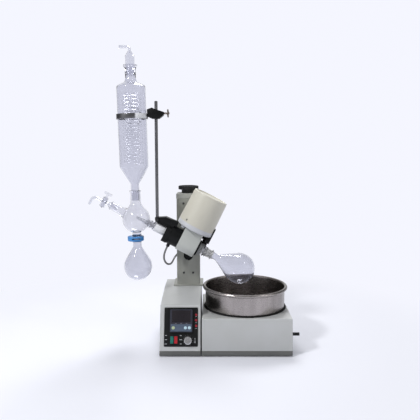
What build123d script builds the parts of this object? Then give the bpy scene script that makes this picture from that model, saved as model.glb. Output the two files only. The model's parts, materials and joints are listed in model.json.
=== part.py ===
from build123d import *
from math import acos, atan2, cos, pi, radians, sin, sqrt, tan
import os

# A bench rotary evaporator: control box and water bath on one tray, a lift column,
# a drive head that turns the evaporating flask, and a vertical coil condenser.
# X runs to the right, Y to the back and Z up; all lengths are millimetres.

# Fits shared by all pieces
running_gap = 0.05
seat_gap = 0.1
pose_gap = 0.3
overrun = 2.0

# Base tray and housings
box_left = -79.0
box_width = 123.5
front_margin = 22.5
box_back = 50.0
box_gap = 3.5
tray_height = 18.0
tray_wall = 2.0
tray_floor = 3.0
foot_height = 3.0
foot_radius = 9.0
foot_inset = 22.0
sheet = 2.0
sheet_bend = 3.0
face_lean = 46.0
crease_height = 146.0
deck_height = 163.0
deck_front = -50.0
bridge_depth = 200.0
bridge_overlap = 12.0

# Control panel, measured on the leaning front face
panel_width = 102.0
panel_low = 12.6
panel_high = 128.0
panel_thick = 1.5
panel_shift = 2.5
panel_border = 3.0
bezel_side = 68.0
bezel_rise = 7.0
bezel_radius = 3.0
bezel_height = 88.5
bezel_shift = 3.0
case_side = 60.0
case_depth = 46.0
display_width = 56.0
display_height = 36.0
display_thick = 1.5
display_rise = 13.0
strip_width = 63.0
strip_height = 21.0
strip_rise = 0.8
strip_drop = 21.0
key_radius = 4.6
key_length = 3.0
key_travel = 0.8
key_proud = 1.6
key_places = {"set_key": -23.5, "down_key": 13.0, "up_key": 25.0}
rocker_width = 9.4
rocker_height = 21.0
rocker_depth = 9.0
rocker_proud = 3.2
rocker_pin_radius = 1.5
rocker_frame = 1.4
rocker_gap = 0.6
rocker_foot_share = 0.8
rocker_rise = 32.2
rocker_places = {"power_rocker": -24.7, "heat_rocker": -12.6}
knob_radius = 12.0
knob_height = 13.0
knob_shift = 23.4
knob_rise = 30.2
knob_skirt = 2.5
knob_grip_share = 0.88
knob_shaft_radius = 3.0
knob_shaft_length = 10.0
knob_pointer = 1.2
pot_case_radius = 10.0
pot_case_depth = 12.0
lamp_radius = 4.0
lamp_proud = 2.6
lamp_shift = 48.0
lamp_rises = (73.3, 90.0, 106.0)

# Water bath
bath_margin = 8.5
bath_height = 114.0
bath_lean = 10.0
pot_offset = 1.5
pot_radius = 127.5
pot_wall = 1.5
pot_floor = 72.0
pot_corner = 14.0
pot_rim = 178.4
bead_radius = 5.2
gasket_width = 5.5
gasket_proud = 4.5
gasket_depth = 3.0
gasket_lip = 1.6
heater_radius = 96.0
heater_thick = 8.0
stand_radius = 100.0
stand_thick = 3.0
stand_leg_radius = 6.0
stand_leg_circle = 88.0
drain_shift = 56.0
drain_offset = 90.0
drain_height = 49.0
drain_radius = 4.0
drain_bore = 2.6
drain_bend = 12.0
drain_length = 29.0
drain_collar_radius = 6.5
drain_collar = 4.0
spigot_radius = 5.0

# Lift column
column_width = 77.0
column_depth = 70.0
column_wall = 3.0
column_edge = 3.0
column_rise = 136.0
flange_width = 98.0
flange_depth = 90.0
flange_thick = 5.0
floor_block = 10.0
cap_height = 17.0
cap_overhang = 0.8
cap_skirt = 6.0
slot_width = 31.0
slot_drop = 56.0
slot_rise = 86.0
rear_slot_width = 20.0
rear_slot_drop = 112.0
rear_slot_rise = 16.0
screw_height_low = 206.0
screw_inset = 16.0
screw_spread = 31.0
screw_head_radius = 3.6
screw_head_rise = 1.8
guide_radius = 5.0
guide_spread = 44.0
lead_radius = 6.0
lead_thread = 1.0
lead_pitch = 8.0
lift_knob_radius = 34.0
lift_knob_disc = 13.0
lift_knob_rise = 11.0
lift_stem_radius = 23.0
lift_knob_lobes = 24
lift_knob_groove = 1.6

# Carriage
carriage_width = 66.0
carriage_depth = 54.0
carriage_drop = 72.0
carriage_rise = 32.0
arm_width = 28.0
arm_height = 40.0
quadrant_thick = 8.0
quadrant_hub = 26.0
quadrant_spare = 18.0
lock_circle = 43.0
lock_angle = -27.0
lock_screw_radius = 4.0
lock_rim_gap = 0.5
tilt_down = 15.0
tilt_up = 12.0
shaft_radius = 8.0
rear_boss_radius = 8.5
rear_boss_drop = 58.0
rear_boss_length = 14.0
lock_knob_radius = 13.0
lock_knob_length = 11.7
lock_knob_lobes = 6

# Drive head, measured along the rotation axis from the tilt pivot
pivot_height = 320.0
rotation_front = 100.0
axis_slope = 27.0
barrel_radius = 35.0
barrel_bore = 29.0
barrel_left = -27.5
barrel_right = 33.0
end_wall = 4.0
neck_bore = 14.0
ring_low = 49.0
ring_height = 15.0
ring_radius = 59.0
ring_lip = 2.0
cover_height = 104.0
cover_top_radius = 56.5
cover_wall = 2.5
cover_edge = 4.0
cover_recess = 3.0
cover_recess_radius = 49.0
back_pad = 36.0
bracket_thick = 8.0
bracket_hub = 24.0
bracket_reach = 61.0
bracket_arm = 12.0
bracket_web = 42.0
saddle_gap = 0.3
saddle_wall = 3.4
saddle_inner = 50.0
saddle_low = 28.0
saddle_high = 79.0
saddle_front = -16.0
stator_radius = 40.0
stator_bore = 24.0
stator_height = 46.0
stator_seat = 12.0
rotor_gap = 0.6
rotor_height = 46.0
motor_shaft_radius = 4.0
motor_shaft_top = 140.0
seal_ring_radius = 30.0
seal_ring_thick = 1.6
rear_radius = 31.0
rear_length = 35.3
rear_bore = 22.0
plate_length = 17.2
plate_half_width = 31.0
plate_low = 30.0
plate_high = 24.0
horn_half_width = 15.0
horn_tip = 10.0
horn_shoulder = 18.0
horn_reach = 48.5
horn_cut = 7.0
horn_top_right = 46.5
horn_top_left = 27.0
horn_bottom = 16.6
stud_radius = 7.0
stud_place = -35.5
stud_gap = 2.0
collar_radius = 15.2
collar_length = 35.7
collar_lip = 5.0
bearing_width = 9.0
bearing_wall = 2.2
gland_radius = 5.5
gland_length = 9.0
gland_place = -52.0

# Spindle, gears and rotating glass
spindle_radius = 15.0
spindle_bore = 8.6
crown_radius = 28.0
crown_inner = 21.0
crown_thick = 6.0
crown_teeth = 36
tooth_depth = 2.4
pinion_teeth = 12
pinion_radius = 8.0
tooth_mesh = 2.0
crown_tooth_share = 0.33
pinion_tooth_share = 0.62
nut_radius = 20.5
nut_start = 35.2
nut_length = 17.8
nut_ribs = 30
nut_rib_depth = 0.9
duct_radius = 8.0
duct_bore = 5.6
duct_left = -112.0
cone_start = 58.0
cone_length = 32.0
cone_radius = 11.8
cone_taper = 1.6
nozzle_tip = -182.0
nozzle_tip_radius = 4.0
nozzle_tip_bore = 2.6
nozzle_cone_start = -140.0
flask_radius = 50.5
flask_place = 187.0
flask_wall = 1.6
flask_neck_radius = 10.5
flask_neck_place = 105.0
socket_radius = 14.4
socket_mouth = 57.0
socket_end = 91.0
socket_bead = 17.2
socket_bead_width = 4.0
clip_wire = 1.1
clip_start = 66.0
clip_end = 86.0

# Fixed glass: the bulb and everything that hangs on it, on one leaning axis
bulb_x = -163.0
bulb_rise = 76.0
glass_lean = 1.4
bulb_radius = 44.0
glass_wall = 1.8
port_radius = 12.0
port_end = -115.8
port_flange_radius = 14.8
port_flange_width = 3.5
port_clip_wire = 1.0
port_clip_start = -131.0
port_clip_end = -121.0
drip_radius = 14.0
drip_length = 60.0
joint_flange_radius = 18.5
joint_flange_thick = 4.0
keck_width = 26.0
keck_depth = 23.0
keck_height = 16.0
keck_window = 4.5
keck_shift = 4.0
receiver_radius = 45.0
receiver_drop = 153.0
receiver_neck_height = 63.0
top_socket_radius = 16.5
top_socket_low = 38.0
top_socket_high = 92.0
top_bead_radius = 18.4
bead_width = 5.0
condenser_cone_low = 60.0
condenser_neck_radius = 13.0
condenser_neck_high = 112.0
condenser_body_low = 166.0
condenser_body_high = 417.0
condenser_radius = 45.0
condenser_shoulder = 12.0
upper_neck_radius = 16.5
upper_neck_high = 481.0
upper_bead_radius = 21.5
upper_cone_low = 452.0
coil_radius = 27.0
coil_tube = 3.7
coil_low = 176.0
coil_pitch = 11.0
coil_turns = 20
nozzle_reach = 24.0
nozzle_radius = 4.6
nozzle_length = 14.0
adapter_radius = 14.5
adapter_shoulder = 508.0
adapter_tube_radius = 4.8
adapter_tube_bore = 3.0
adapter_bend_radius = 9.0
adapter_top = 536.0
adapter_reach = 32.0
adapter_taper = 14.0
adapter_spigot_radius = 5.4
adapter_spigot = 14.0

# Feed stopcock on the bulb's upper left port
feed_slope = 29.0
feed_socket_radius = 12.5
feed_socket_end = 92.0
feed_cone_start = 68.0
feed_tube_radius = 4.8
feed_tube_bore = 2.4
cock_place = 116.0
cock_barrel_radius = 8.5
cock_barrel_low = 17.0
cock_barrel_high = 14.0
plug_radius = 5.6
plug_taper = 1.2
plug_tip = 22.0
handle_rise = 24.0
handle_width = 26.0
handle_thick = 5.0
handle_height = 8.0
outlet_run = 38.5
outlet_reach = 29.0
outlet_bend = 14.0

# Support rod and condenser clamp
rod_x = -96.0
rod_radius = 5.0
rod_rise = 70.0
rod_length = 377.0
lock_bolt_radius = 5.5
lock_bolt_head = 4.0
lock_bolt_rise = 6.0
clamp_level = 323.0
band_height = 16.0
lining_thick = 2.0
band_thick = 1.6
band_end = 15.0
boss_left = -123.0
boss_right = -72.0
boss_depth = 24.0
boss_high = 17.0
boss_low = 17.0
boss_rise = 10.0
wing_shaft_radius = 3.0
wing_shaft_length = 18.0
wing_bar_radius = 2.4
wing_bar_length = 26.0

# Mains inlet on the back of the control box
inlet_width = 28.0
inlet_height = 20.0
inlet_rise = 50.0
inlet_depth = 18.0
inlet_flange = 3.0
inlet_pin = 2.0

# Signal cable, a limp lead from the head to the back of the carriage
cable_radius = 3.0
cable_route = [
    (-64.5, -100.0, 307.9),
    (-74.5, -100.0, 288.4),
    (-77.5, -92.0, 264.0),
    (-70.0, -73.0, 244.0),
    (-60.0, -40.0, 236.0),
    (-56.0, -4.0, 236.0),
    (-50.0, 33.0, 247.0),
    (-33.0, 51.0, 262.0),
    (-13.0, 51.0, 262.0),
]
arc_share = 0.45

# Frames and places derived from the sizes above
crown_face = tooth_mesh - pinion_radius
rotation_y = -rotation_front
box_front = rotation_y - pot_radius - front_margin
box_centre = box_left + box_width / 2
bath_left = box_left + box_width + box_gap
bath_width = 2 * (pot_radius + bath_margin)
bath_back = rotation_y + pot_radius + bath_margin
pot_x = bath_left + bath_width / 2 + pot_offset
gasket_radius = pot_radius + gasket_width
column_top = pivot_height + column_rise
slot_low = pivot_height - slot_drop
slot_high = pivot_height + slot_rise
rear_slot_low = pivot_height - rear_slot_drop
rear_slot_high = pivot_height + rear_slot_rise
screw_height_high = column_top - screw_inset
carriage_low = pivot_height - carriage_drop
carriage_high = pivot_height + carriage_rise
rear_boss_height = pivot_height - rear_boss_drop
bulb_height = pivot_height + bulb_rise
rod_low = pivot_height + rod_rise
rod_high = rod_low + rod_length
face_height = crease_height - tray_height
face_length = sqrt(face_lean**2 + face_height**2)
HEAD = Location((0, rotation_y, pivot_height), (0, axis_slope, 0))
AXIS = HEAD * Rot(0, 90, 0)
GLASS = Location((bulb_x, rotation_y, bulb_height), (0, -glass_lean, 0))
panel_plane = Plane(
    origin=(box_centre, box_front, tray_height),
    x_dir=(1, 0, 0),
    z_dir=(0, -face_height / face_length, face_lean / face_length),
)
PANEL = Location(panel_plane)
FEED = Location((bulb_x, rotation_y, bulb_height), (0, -90 + feed_slope, 0))
port_axial = -bulb_x / cos(radians(axis_slope))
quadrant_front = rotation_y + back_pad + bracket_thick + pose_gap
quadrant_back = quadrant_front + quadrant_thick
quadrant_reach = lock_circle - lock_screw_radius - lock_rim_gap
quadrant_start = lock_angle - tilt_down - quadrant_spare
quadrant_end = lock_angle + tilt_up + quadrant_spare
lock_bolt_height = rod_low + lock_bolt_rise
stud_low = barrel_radius + stud_gap
clip_ring_radius = socket_radius + clip_wire + seat_gap


def turned(*outline):
    """Revolve (radius, height) points about Z."""
    return revolve(make_face(Plane.XZ * Polyline(*outline, close=True)), Axis.Z)


def tube(outer, inner, low, high):
    return turned((inner, low), (outer, low), (outer, high), (inner, high))


def disc(radius, low, high):
    return turned((0, low), (radius, low), (radius, high), (0, high))


def block(x_low, x_high, y_low, y_high, z_low, z_high):
    centre = ((x_low + x_high) / 2, (y_low + y_high) / 2, (z_low + z_high) / 2)
    return Pos(*centre) * Box(x_high - x_low, y_high - y_low, z_high - z_low)


def copies(shape, places):
    """One node of equal solids, one at each place."""
    return Compound([place * shape for place in places])


def side_profile(points, x_low, x_high):
    """Extrude an outline of (y, z) points from x_low to x_high."""
    face = make_face(Plane.YZ * Polyline(*points, close=True))
    return Pos(x_low, 0, 0) * extrude(face, amount=x_high - x_low, dir=(1, 0, 0))


def panel_hole(width, height, shift, rise, depth):
    return PANEL * Pos(shift, rise, 0) * Box(width, height, depth)


# Base


def tray_section(x_low, x_high, y_back):
    outer = block(x_low, x_high, box_front, y_back, foot_height, tray_height)
    inner = block(
        x_low + tray_wall,
        x_high - tray_wall,
        box_front + tray_wall,
        y_back - tray_wall,
        foot_height + tray_floor,
        tray_height + overrun,
    )
    return outer - inner


def base_tray():
    box_right = box_left + box_width
    middle = (box_front + bath_back) / 2
    bridge = block(
        box_right - bridge_overlap,
        bath_left + bridge_overlap,
        middle - bridge_depth / 2,
        middle + bridge_depth / 2,
        foot_height,
        foot_height + tray_floor,
    )
    left = tray_section(box_left, box_right, box_back)
    right = tray_section(bath_left, bath_left + bath_width, bath_back)
    return left + right + bridge


def rubber_feet():
    places = []
    for x_low, width, y_back in ((box_left, box_width, box_back), (bath_left, bath_width, bath_back)):
        for x in (x_low + foot_inset, x_low + width - foot_inset):
            for y in (box_front + foot_inset, y_back - foot_inset):
                places.append(Pos(x, y, 0))
    foot = disc(foot_radius, 0, foot_height)
    return copies(foot, places)


def sheet_housing(points, x_low, x_high):
    """A folded sheet cover with rounded bends, open underneath."""
    solid = side_profile(points, x_low, x_high)
    bends = solid.edges().filter_by(lambda edge: edge.center().Z > tray_height + sheet)
    solid = fillet(bends, sheet_bend)
    floor = solid.faces().sort_by(Axis.Z)[0]
    return offset(solid, amount=-sheet, openings=floor)


def control_housing():
    outline = [
        (box_front, tray_height),
        (box_front + face_lean, crease_height),
        (deck_front, deck_height),
        (box_back, deck_height),
        (box_back, tray_height),
    ]
    shell = sheet_housing(outline, box_left, box_left + box_width)
    depth = 4 * sheet
    shell -= panel_hole(case_side + seat_gap, case_side + seat_gap, bezel_shift, bezel_height, depth)
    for place in rocker_places.values():
        hole_width = rocker_width + 2 * rocker_frame + seat_gap
        shell -= panel_hole(hole_width, rocker_height + overrun, place, rocker_rise, depth)
    shell -= PANEL * Pos(knob_shift, knob_rise, 0) * Cylinder(knob_shaft_radius + overrun, depth)
    for rise in lamp_rises:
        shell -= PANEL * Pos(lamp_shift, rise, 0) * Cylinder(lamp_radius + seat_gap, depth)
    inlet_hole = Box(inlet_width + seat_gap, depth, inlet_height + seat_gap)
    shell -= Pos(box_centre, box_back, tray_height + inlet_rise) * inlet_hole
    return shell


def bath_housing():
    outline = [
        (box_front, tray_height),
        (box_front + bath_lean, bath_height),
        (bath_back, bath_height),
        (bath_back, tray_height),
    ]
    shell = sheet_housing(outline, bath_left, bath_left + bath_width)
    shell -= Pos(pot_x, rotation_y, bath_height) * Cylinder(pot_radius + gasket_lip, 4 * sheet)
    hole = Rot(0, 90, 0) * Cylinder(drain_radius + seat_gap, 6 * sheet)
    return shell - Pos(bath_left + bath_width, rotation_y - drain_offset, drain_height) * hole


def speed_control():
    """The potentiometer behind the panel, with the bore that the knob's shaft turns in."""
    case = disc(pot_case_radius, -sheet - pot_case_depth, -sheet)
    case += disc(knob_shaft_radius + overrun - seat_gap, -sheet, panel_thick / 2)
    return Pos(knob_shift, knob_rise, 0) * case


def fascia_panel():
    """The black front plate with its rocker frames, and the speed control bolted behind it."""
    rise = (panel_low + panel_high) / 2
    height = panel_high - panel_low
    plate = Pos(panel_shift, rise, panel_thick / 2) * Box(panel_width, height, panel_thick)
    plate = fillet(plate.edges().filter_by(Axis.Z), panel_border)
    case_hole = case_side + seat_gap
    plate -= Pos(bezel_shift, bezel_height, 0) * Box(case_hole, case_hole, 4 * panel_thick)
    for place in rocker_places.values():
        frame_width = rocker_width + 2 * rocker_frame
        frame_height = rocker_height + 2 * rocker_frame
        frame = Box(frame_width, frame_height, rocker_frame)
        plate += Pos(place, rocker_rise, panel_thick + rocker_frame / 2) * frame
    for place in rocker_places.values():
        opening = Box(rocker_width + 2 * pose_gap, rocker_height + 2 * rocker_gap, 8 * panel_thick)
        plate -= Pos(place, rocker_rise, 0) * opening
        pin = Rot(0, 90, 0) * Cylinder(rocker_pin_radius, rocker_width + 2 * rocker_frame)
        plate += Pos(place, rocker_rise, panel_thick / 2) * pin
    plate += speed_control()
    shaft_bore = disc(knob_shaft_radius + running_gap, -knob_shaft_length - sheet, panel_thick + overrun)
    plate -= Pos(knob_shift, knob_rise, 0) * shaft_bore
    for rise in lamp_rises:
        plate -= Pos(lamp_shift, rise, 0) * Cylinder(lamp_radius + seat_gap, 4 * panel_thick)
    return PANEL * plate


def temperature_controller():
    """A square panel instrument: bezel in front of the fascia, case behind it."""
    face = panel_thick + bezel_rise
    bezel = Pos(0, 0, panel_thick + bezel_rise / 2) * Box(bezel_side, bezel_side, bezel_rise)
    bezel = fillet(bezel.edges().filter_by(Axis.Z), bezel_radius)
    bezel = chamfer(bezel.faces().sort_by(Axis.Z)[-1].edges(), bezel_rise / 6)
    case = Pos(0, 0, panel_thick - case_depth / 2) * Box(case_side, case_side, case_depth)
    strip = Pos(0, -strip_drop, face) * Box(strip_width, strip_height, 2 * strip_rise)
    body = bezel + case + strip
    recess = Box(display_width, display_height, 2 * display_thick)
    body -= Pos(0, display_rise, face) * recess
    for place in key_places.values():
        depth = key_length - key_proud + strip_rise + key_travel + pose_gap
        body -= Pos(place, -strip_drop, face + strip_rise) * Cylinder(key_radius + running_gap, 2 * depth)
    return PANEL * Pos(bezel_shift, bezel_height, 0) * body


def display_window():
    face = panel_thick + bezel_rise
    pane = Box(display_width - 2 * seat_gap, display_height - 2 * seat_gap, display_thick)
    return PANEL * Pos(bezel_shift, bezel_height + display_rise, face - display_thick / 2) * pane


def controller_key(place):
    """A round key whose underside has its travel free below it."""
    face = panel_thick + bezel_rise + strip_rise
    key = Pos(0, 0, face + key_proud - key_length / 2) * Cylinder(key_radius, key_length)
    key = fillet(key.faces().sort_by(Axis.Z)[-1].edges(), key_proud / 3)
    return PANEL * Pos(bezel_shift + place, bezel_height - strip_drop, 0) * key


def rocker(place):
    """A paddle with two sloping faces that rocks on the pin across its opening."""
    half = rocker_height / 2
    foot = half * rocker_foot_share
    top = panel_thick + rocker_proud
    low = -rocker_depth / 2
    outline = [(-half, top), (0, top - rocker_frame), (half, top), (foot, low), (-foot, low)]
    body = side_profile(outline, -rocker_width / 2, rocker_width / 2)
    pin_bore = Rot(0, 90, 0) * Cylinder(rocker_pin_radius + running_gap, 2 * rocker_width)
    body -= Pos(0, 0, panel_thick / 2) * pin_bore
    return PANEL * Pos(place, rocker_rise, 0) * body


def speed_knob():
    """A turned knob with a skirt, a pointer line and its shaft."""
    low = panel_thick + pose_gap
    top = low + knob_height
    body = disc(knob_radius, low, low + knob_skirt)
    body += disc(knob_radius * knob_grip_share, low + knob_skirt, top)
    body = chamfer(body.edges().filter_by(GeomType.CIRCLE).sort_by(Axis.Z)[-1], knob_pointer)
    line = Box(knob_pointer, knob_radius, 2 * knob_pointer)
    body -= Pos(0, knob_radius / 2, top) * line
    body += disc(knob_shaft_radius, panel_thick - knob_shaft_length, low)
    return PANEL * Pos(knob_shift, knob_rise, 0) * body


def indicator_lamps():
    lens = disc(lamp_radius, -2 * sheet, panel_thick + lamp_proud)
    lens = fillet(lens.faces().sort_by(Axis.Z)[-1].edges(), lamp_proud * 0.8)
    return copies(lens, [PANEL * Pos(lamp_shift, rise, 0) for rise in lamp_rises])


def mains_inlet():
    """A three pin inlet in the back wall."""
    body = Box(inlet_width, inlet_depth, inlet_height)
    body = Pos(0, -inlet_depth / 2 + inlet_flange / 2, 0) * body
    flange = Box(inlet_width + 4 * inlet_flange, inlet_flange, inlet_height + 2 * inlet_flange)
    body += Pos(0, inlet_flange / 2, 0) * flange
    cavity = Box(inlet_width - 2 * inlet_flange, inlet_depth, inlet_height - 2 * inlet_flange)
    body -= Pos(0, inlet_flange, 0) * cavity
    for share in (-0.25, 0, 0.25):
        pin = Box(inlet_pin, inlet_depth * 0.7, inlet_pin)
        body += Pos(share * inlet_width, -inlet_depth * 0.3, 0) * pin
    return Pos(box_centre, box_back, tray_height + inlet_rise) * body


# Water bath


def bath_pot():
    """A drawn steel pot with a rolled rim."""
    outer = disc(pot_radius, pot_floor, pot_rim)
    outer = fillet(outer.faces().sort_by(Axis.Z)[0].edges(), pot_corner)
    inner = disc(pot_radius - pot_wall, pot_floor + pot_wall, pot_rim + 2 * bead_radius)
    inner = fillet(inner.faces().sort_by(Axis.Z)[0].edges(), pot_corner - pot_wall)
    bead_place = pot_radius + bead_radius - pot_wall
    rim = Pos(0, 0, pot_rim) * Torus(bead_place, bead_radius)
    pot = outer + rim
    pot -= inner
    hole = Pos(drain_shift, -drain_offset, pot_floor) * Cylinder(drain_bore, 8 * pot_wall)
    return Pos(pot_x, rotation_y, 0) * (pot - hole)


def bath_gasket():
    inner = pot_radius + seat_gap
    lip = pot_radius + gasket_lip - seat_gap
    ring = turned(
        (inner, bath_height - gasket_depth),
        (lip, bath_height - gasket_depth),
        (lip, bath_height),
        (gasket_radius, bath_height),
        (gasket_radius - gasket_lip, bath_height + gasket_proud / 2),
        (inner + gasket_lip, bath_height + gasket_proud),
        (inner, bath_height + gasket_proud),
    )
    return Pos(pot_x, rotation_y, 0) * ring


def bath_heater():
    """The plate heater under the pot, on its round stand with four legs."""
    top = pot_floor - heater_thick
    stand = disc(heater_radius, top, pot_floor)
    stand += disc(stand_radius, top - stand_thick, top)
    leg = disc(stand_leg_radius, foot_height + tray_floor, top)
    for turn in (45, 135, 225, 315):
        stand += Rot(0, 0, turn) * Pos(stand_leg_circle, 0, 0) * leg
    return Pos(pot_x, rotation_y, 0) * stand


def drain_nipple():
    """The drain tube, from the pot's floor down and out through the housing's side."""
    side = bath_left + bath_width
    start = (pot_x + drain_shift, rotation_y - drain_offset, pot_floor - seat_gap)
    corner = (start[0], start[1], drain_height)
    end = (side + drain_length, start[1], drain_height)
    path = FilletPolyline(start, corner, end, radius=drain_bend)
    section = Plane(origin=start, z_dir=(0, 0, -1))
    pipe = sweep(section * Circle(drain_radius), path=path)
    bore = sweep(section * Circle(drain_bore), path=path)
    low = side + seat_gap
    collar = disc(drain_collar_radius, low, low + drain_collar)
    spigot = disc(spigot_radius, low + drain_collar, side + drain_length)
    outside = Pos(0, start[1], drain_height) * Rot(0, 90, 0) * (collar + spigot)
    return pipe + outside - bore


# Lift column


def column():
    """A square tube with welded flange and floor, and a slot front and back."""
    tube_height = column_top - deck_height
    outer = Pos(0, 0, deck_height + tube_height / 2) * Box(column_width, column_depth, tube_height)
    outer = fillet(outer.edges().filter_by(Axis.Z), column_edge)
    inner_low = deck_height + floor_block
    inner = block(
        column_wall - column_width / 2,
        column_width / 2 - column_wall,
        column_wall - column_depth / 2,
        column_depth / 2 - column_wall,
        inner_low,
        column_top + overrun,
    )
    flange = Pos(0, 0, deck_height + flange_thick / 2) * Box(flange_width, flange_depth, flange_thick)
    flange = chamfer(flange.faces().sort_by(Axis.Z)[-1].edges(), flange_thick / 4)
    body = outer + flange - inner
    for width, low, high, side in (
        (slot_width, slot_low, slot_high, -1),
        (rear_slot_width, rear_slot_low, rear_slot_high, 1),
    ):
        slot = SlotCenterToCenter(high - low, width, rotation=90)
        cutter = extrude(Plane.XZ * slot, amount=2 * column_wall, both=True)
        body -= Pos(0, side * column_depth / 2, (low + high) / 2) * cutter
    for x in (-guide_spread / 2, guide_spread / 2):
        body -= Pos(x, 0, inner_low) * Cylinder(guide_radius + seat_gap, floor_block)
    return body - Pos(0, 0, inner_low) * Cylinder(lead_radius + running_gap, floor_block)


def column_cap():
    cap = block(
        -column_width / 2 - cap_overhang,
        column_width / 2 + cap_overhang,
        -column_depth / 2 - cap_overhang,
        column_depth / 2 + cap_overhang,
        column_top,
        column_top + cap_height,
    )
    cap = chamfer(cap.faces().sort_by(Axis.Z)[-1].edges(), cap_overhang * 2)
    skirt_inset = column_wall + seat_gap
    cap += block(
        skirt_inset - column_width / 2,
        column_width / 2 - skirt_inset,
        skirt_inset - column_depth / 2,
        column_depth / 2 - skirt_inset,
        column_top - cap_skirt,
        column_top,
    )
    for x in (-guide_spread / 2, guide_spread / 2):
        cap -= Pos(x, 0, column_top - cap_skirt) * Cylinder(guide_radius + seat_gap, 2 * cap_skirt)
    return cap - Pos(0, 0, column_top) * Cylinder(lead_radius + running_gap, 4 * cap_height)


def column_screws():
    """Pan head screws on the column's front, each with a hexagon socket."""
    head = disc(screw_head_radius, 0, screw_head_rise)
    socket = extrude(RegularPolygon(screw_head_radius / 2, 6), amount=screw_head_rise / 2, both=True)
    head = Rot(90, 0, 0) * (head - Pos(0, 0, screw_head_rise) * socket)
    places = []
    for height in (screw_height_low, screw_height_high):
        for x in (-screw_spread / 2, screw_spread / 2):
            places.append(Pos(x, -column_depth / 2, height))
    return copies(head, places)


def guide_rods():
    rod = disc(guide_radius, deck_height + floor_block / 2, column_top)
    return copies(rod, [Pos(-guide_spread / 2, 0, 0), Pos(guide_spread / 2, 0, 0)])


def lead_screw():
    """The lift screw, with its thread shown as ridges at the pitch."""
    low = deck_height + floor_block
    high = column_top - cap_skirt - pose_gap
    core = disc(lead_radius - lead_thread, low + pose_gap, high)
    count = int((high - low) / lead_pitch) - 1
    for index in range(count):
        centre = low + (index + 1) * lead_pitch
        core += tube(lead_radius, lead_radius - 2 * lead_thread, centre - lead_thread, centre + lead_thread)
    core += disc(lead_radius, low - floor_block / 2 + pose_gap, low + pose_gap)
    return core + disc(lead_radius, high, column_top + cap_height + pose_gap)


def lift_knob():
    """A broad grooved hand wheel on a short stem."""
    low = column_top + cap_height + pose_gap
    stem_top = low + lift_knob_rise
    top = stem_top + lift_knob_disc
    body = disc(lift_stem_radius, low, stem_top)
    rim = disc(lift_knob_radius, stem_top, top)
    rim = chamfer(rim.edges().filter_by(GeomType.CIRCLE), lift_knob_groove)
    for index in range(lift_knob_lobes):
        groove = Pos(lift_knob_radius, 0, stem_top) * Cylinder(lift_knob_groove, 4 * lift_knob_disc)
        rim -= Rot(0, 0, index * 360 / lift_knob_lobes) * groove
    dish = Pos(0, 0, top) * Cylinder(lift_stem_radius, lift_knob_groove * 2)
    return body + rim - dish


# Carriage


def wedge(reach, start, end, thick):
    """A flat fan in the XZ plane, from start to end degrees above +X."""
    arc = ThreePointArc(
        (reach * cos(radians(start)), reach * sin(radians(start))),
        (reach * cos(radians((start + end) / 2)), reach * sin(radians((start + end) / 2))),
        (reach * cos(radians(end)), reach * sin(radians(end))),
    )
    outline = arc + Line(arc @ 1, (0, 0)) + Line((0, 0), arc @ 0)
    return extrude(Plane.XZ * make_face(outline), amount=thick)


def carriage():
    """The sliding block, its arm through the front slot and the tilt quadrant."""
    body = block(
        -carriage_width / 2,
        carriage_width / 2,
        -carriage_depth / 2,
        carriage_depth / 2,
        carriage_low,
        carriage_high,
    )
    body = chamfer(body.edges(), column_edge / 2)
    arm = SlotOverall(arm_height, arm_width, rotation=90)
    arm_length = -carriage_depth / 2 - quadrant_back + overrun
    arm = extrude(Plane.XZ * arm, amount=arm_length)
    body += Pos(0, quadrant_back + arm_length, pivot_height) * arm
    hub = extrude(Plane.XZ * Circle(quadrant_hub), amount=quadrant_thick)
    hub = Pos(0, quadrant_back, pivot_height) * hub
    fan = wedge(quadrant_reach, quadrant_start, quadrant_end, quadrant_thick)
    body += hub + Pos(0, quadrant_back, pivot_height) * fan
    boss_end = column_depth / 2 + rear_boss_length
    boss = Rot(-90, 0, 0) * disc(rear_boss_radius, carriage_depth / 2 - overrun, boss_end)
    body += Pos(0, 0, rear_boss_height) * boss
    gland_y = cable_route[-1][1]
    socket = Rot(0, -90, 0) * disc(gland_radius, 0, -cable_route[-1][0])
    body += Pos(0, gland_y, cable_route[-1][2]) * socket
    middle = (carriage_low + carriage_high) / 2
    length = carriage_high - carriage_low + overrun
    for x in (-guide_spread / 2, guide_spread / 2):
        body -= Pos(x, 0, middle) * Cylinder(guide_radius + running_gap, length)
    body -= Pos(0, 0, middle) * Cylinder(lead_radius + running_gap, length)
    pin_depth = -carriage_depth / 2 - quadrant_front
    bore = Rot(-90, 0, 0) * disc(shaft_radius + seat_gap, 0, pin_depth)
    return body - Pos(0, quadrant_front, pivot_height) * bore


def pivot_shaft():
    """The tilt pin, fixed in the carriage and running in the head."""
    end = -carriage_depth / 2
    start = rotation_y + back_pad - bracket_thick
    pin = Rot(-90, 0, 0) * disc(shaft_radius, 0, end - start)
    pin = chamfer(pin.faces().sort_by(Axis.Y)[0].edges(), overrun / 2)
    return Pos(0, start, pivot_height) * pin


def tilt_lock_knob():
    """A lobed knob that grips the quadrant's rim; its screw passes the rim into the head bracket."""
    radius = lock_circle
    x = radius * cos(radians(lock_angle))
    z = pivot_height + radius * sin(radians(lock_angle))
    low = pose_gap
    body = disc(lock_knob_radius, low, low + lock_knob_length)
    for index in range(lock_knob_lobes):
        scoop = Cylinder(lock_screw_radius * 1.6, 4 * lock_knob_length)
        scoop = Pos(lock_knob_radius + lock_screw_radius, 0, 0) * scoop
        body -= Rot(0, 0, index * 360 / lock_knob_lobes) * scoop
    body = body - Pos(0, 0, low + lock_knob_length) * Cylinder(lock_screw_radius, overrun)
    screw_length = quadrant_thick + bracket_thick * 0.8 + pose_gap
    body += disc(lock_screw_radius, -screw_length, low)
    return Pos(x, quadrant_back, z) * Rot(-90, 0, 0) * body


# Drive head


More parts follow.
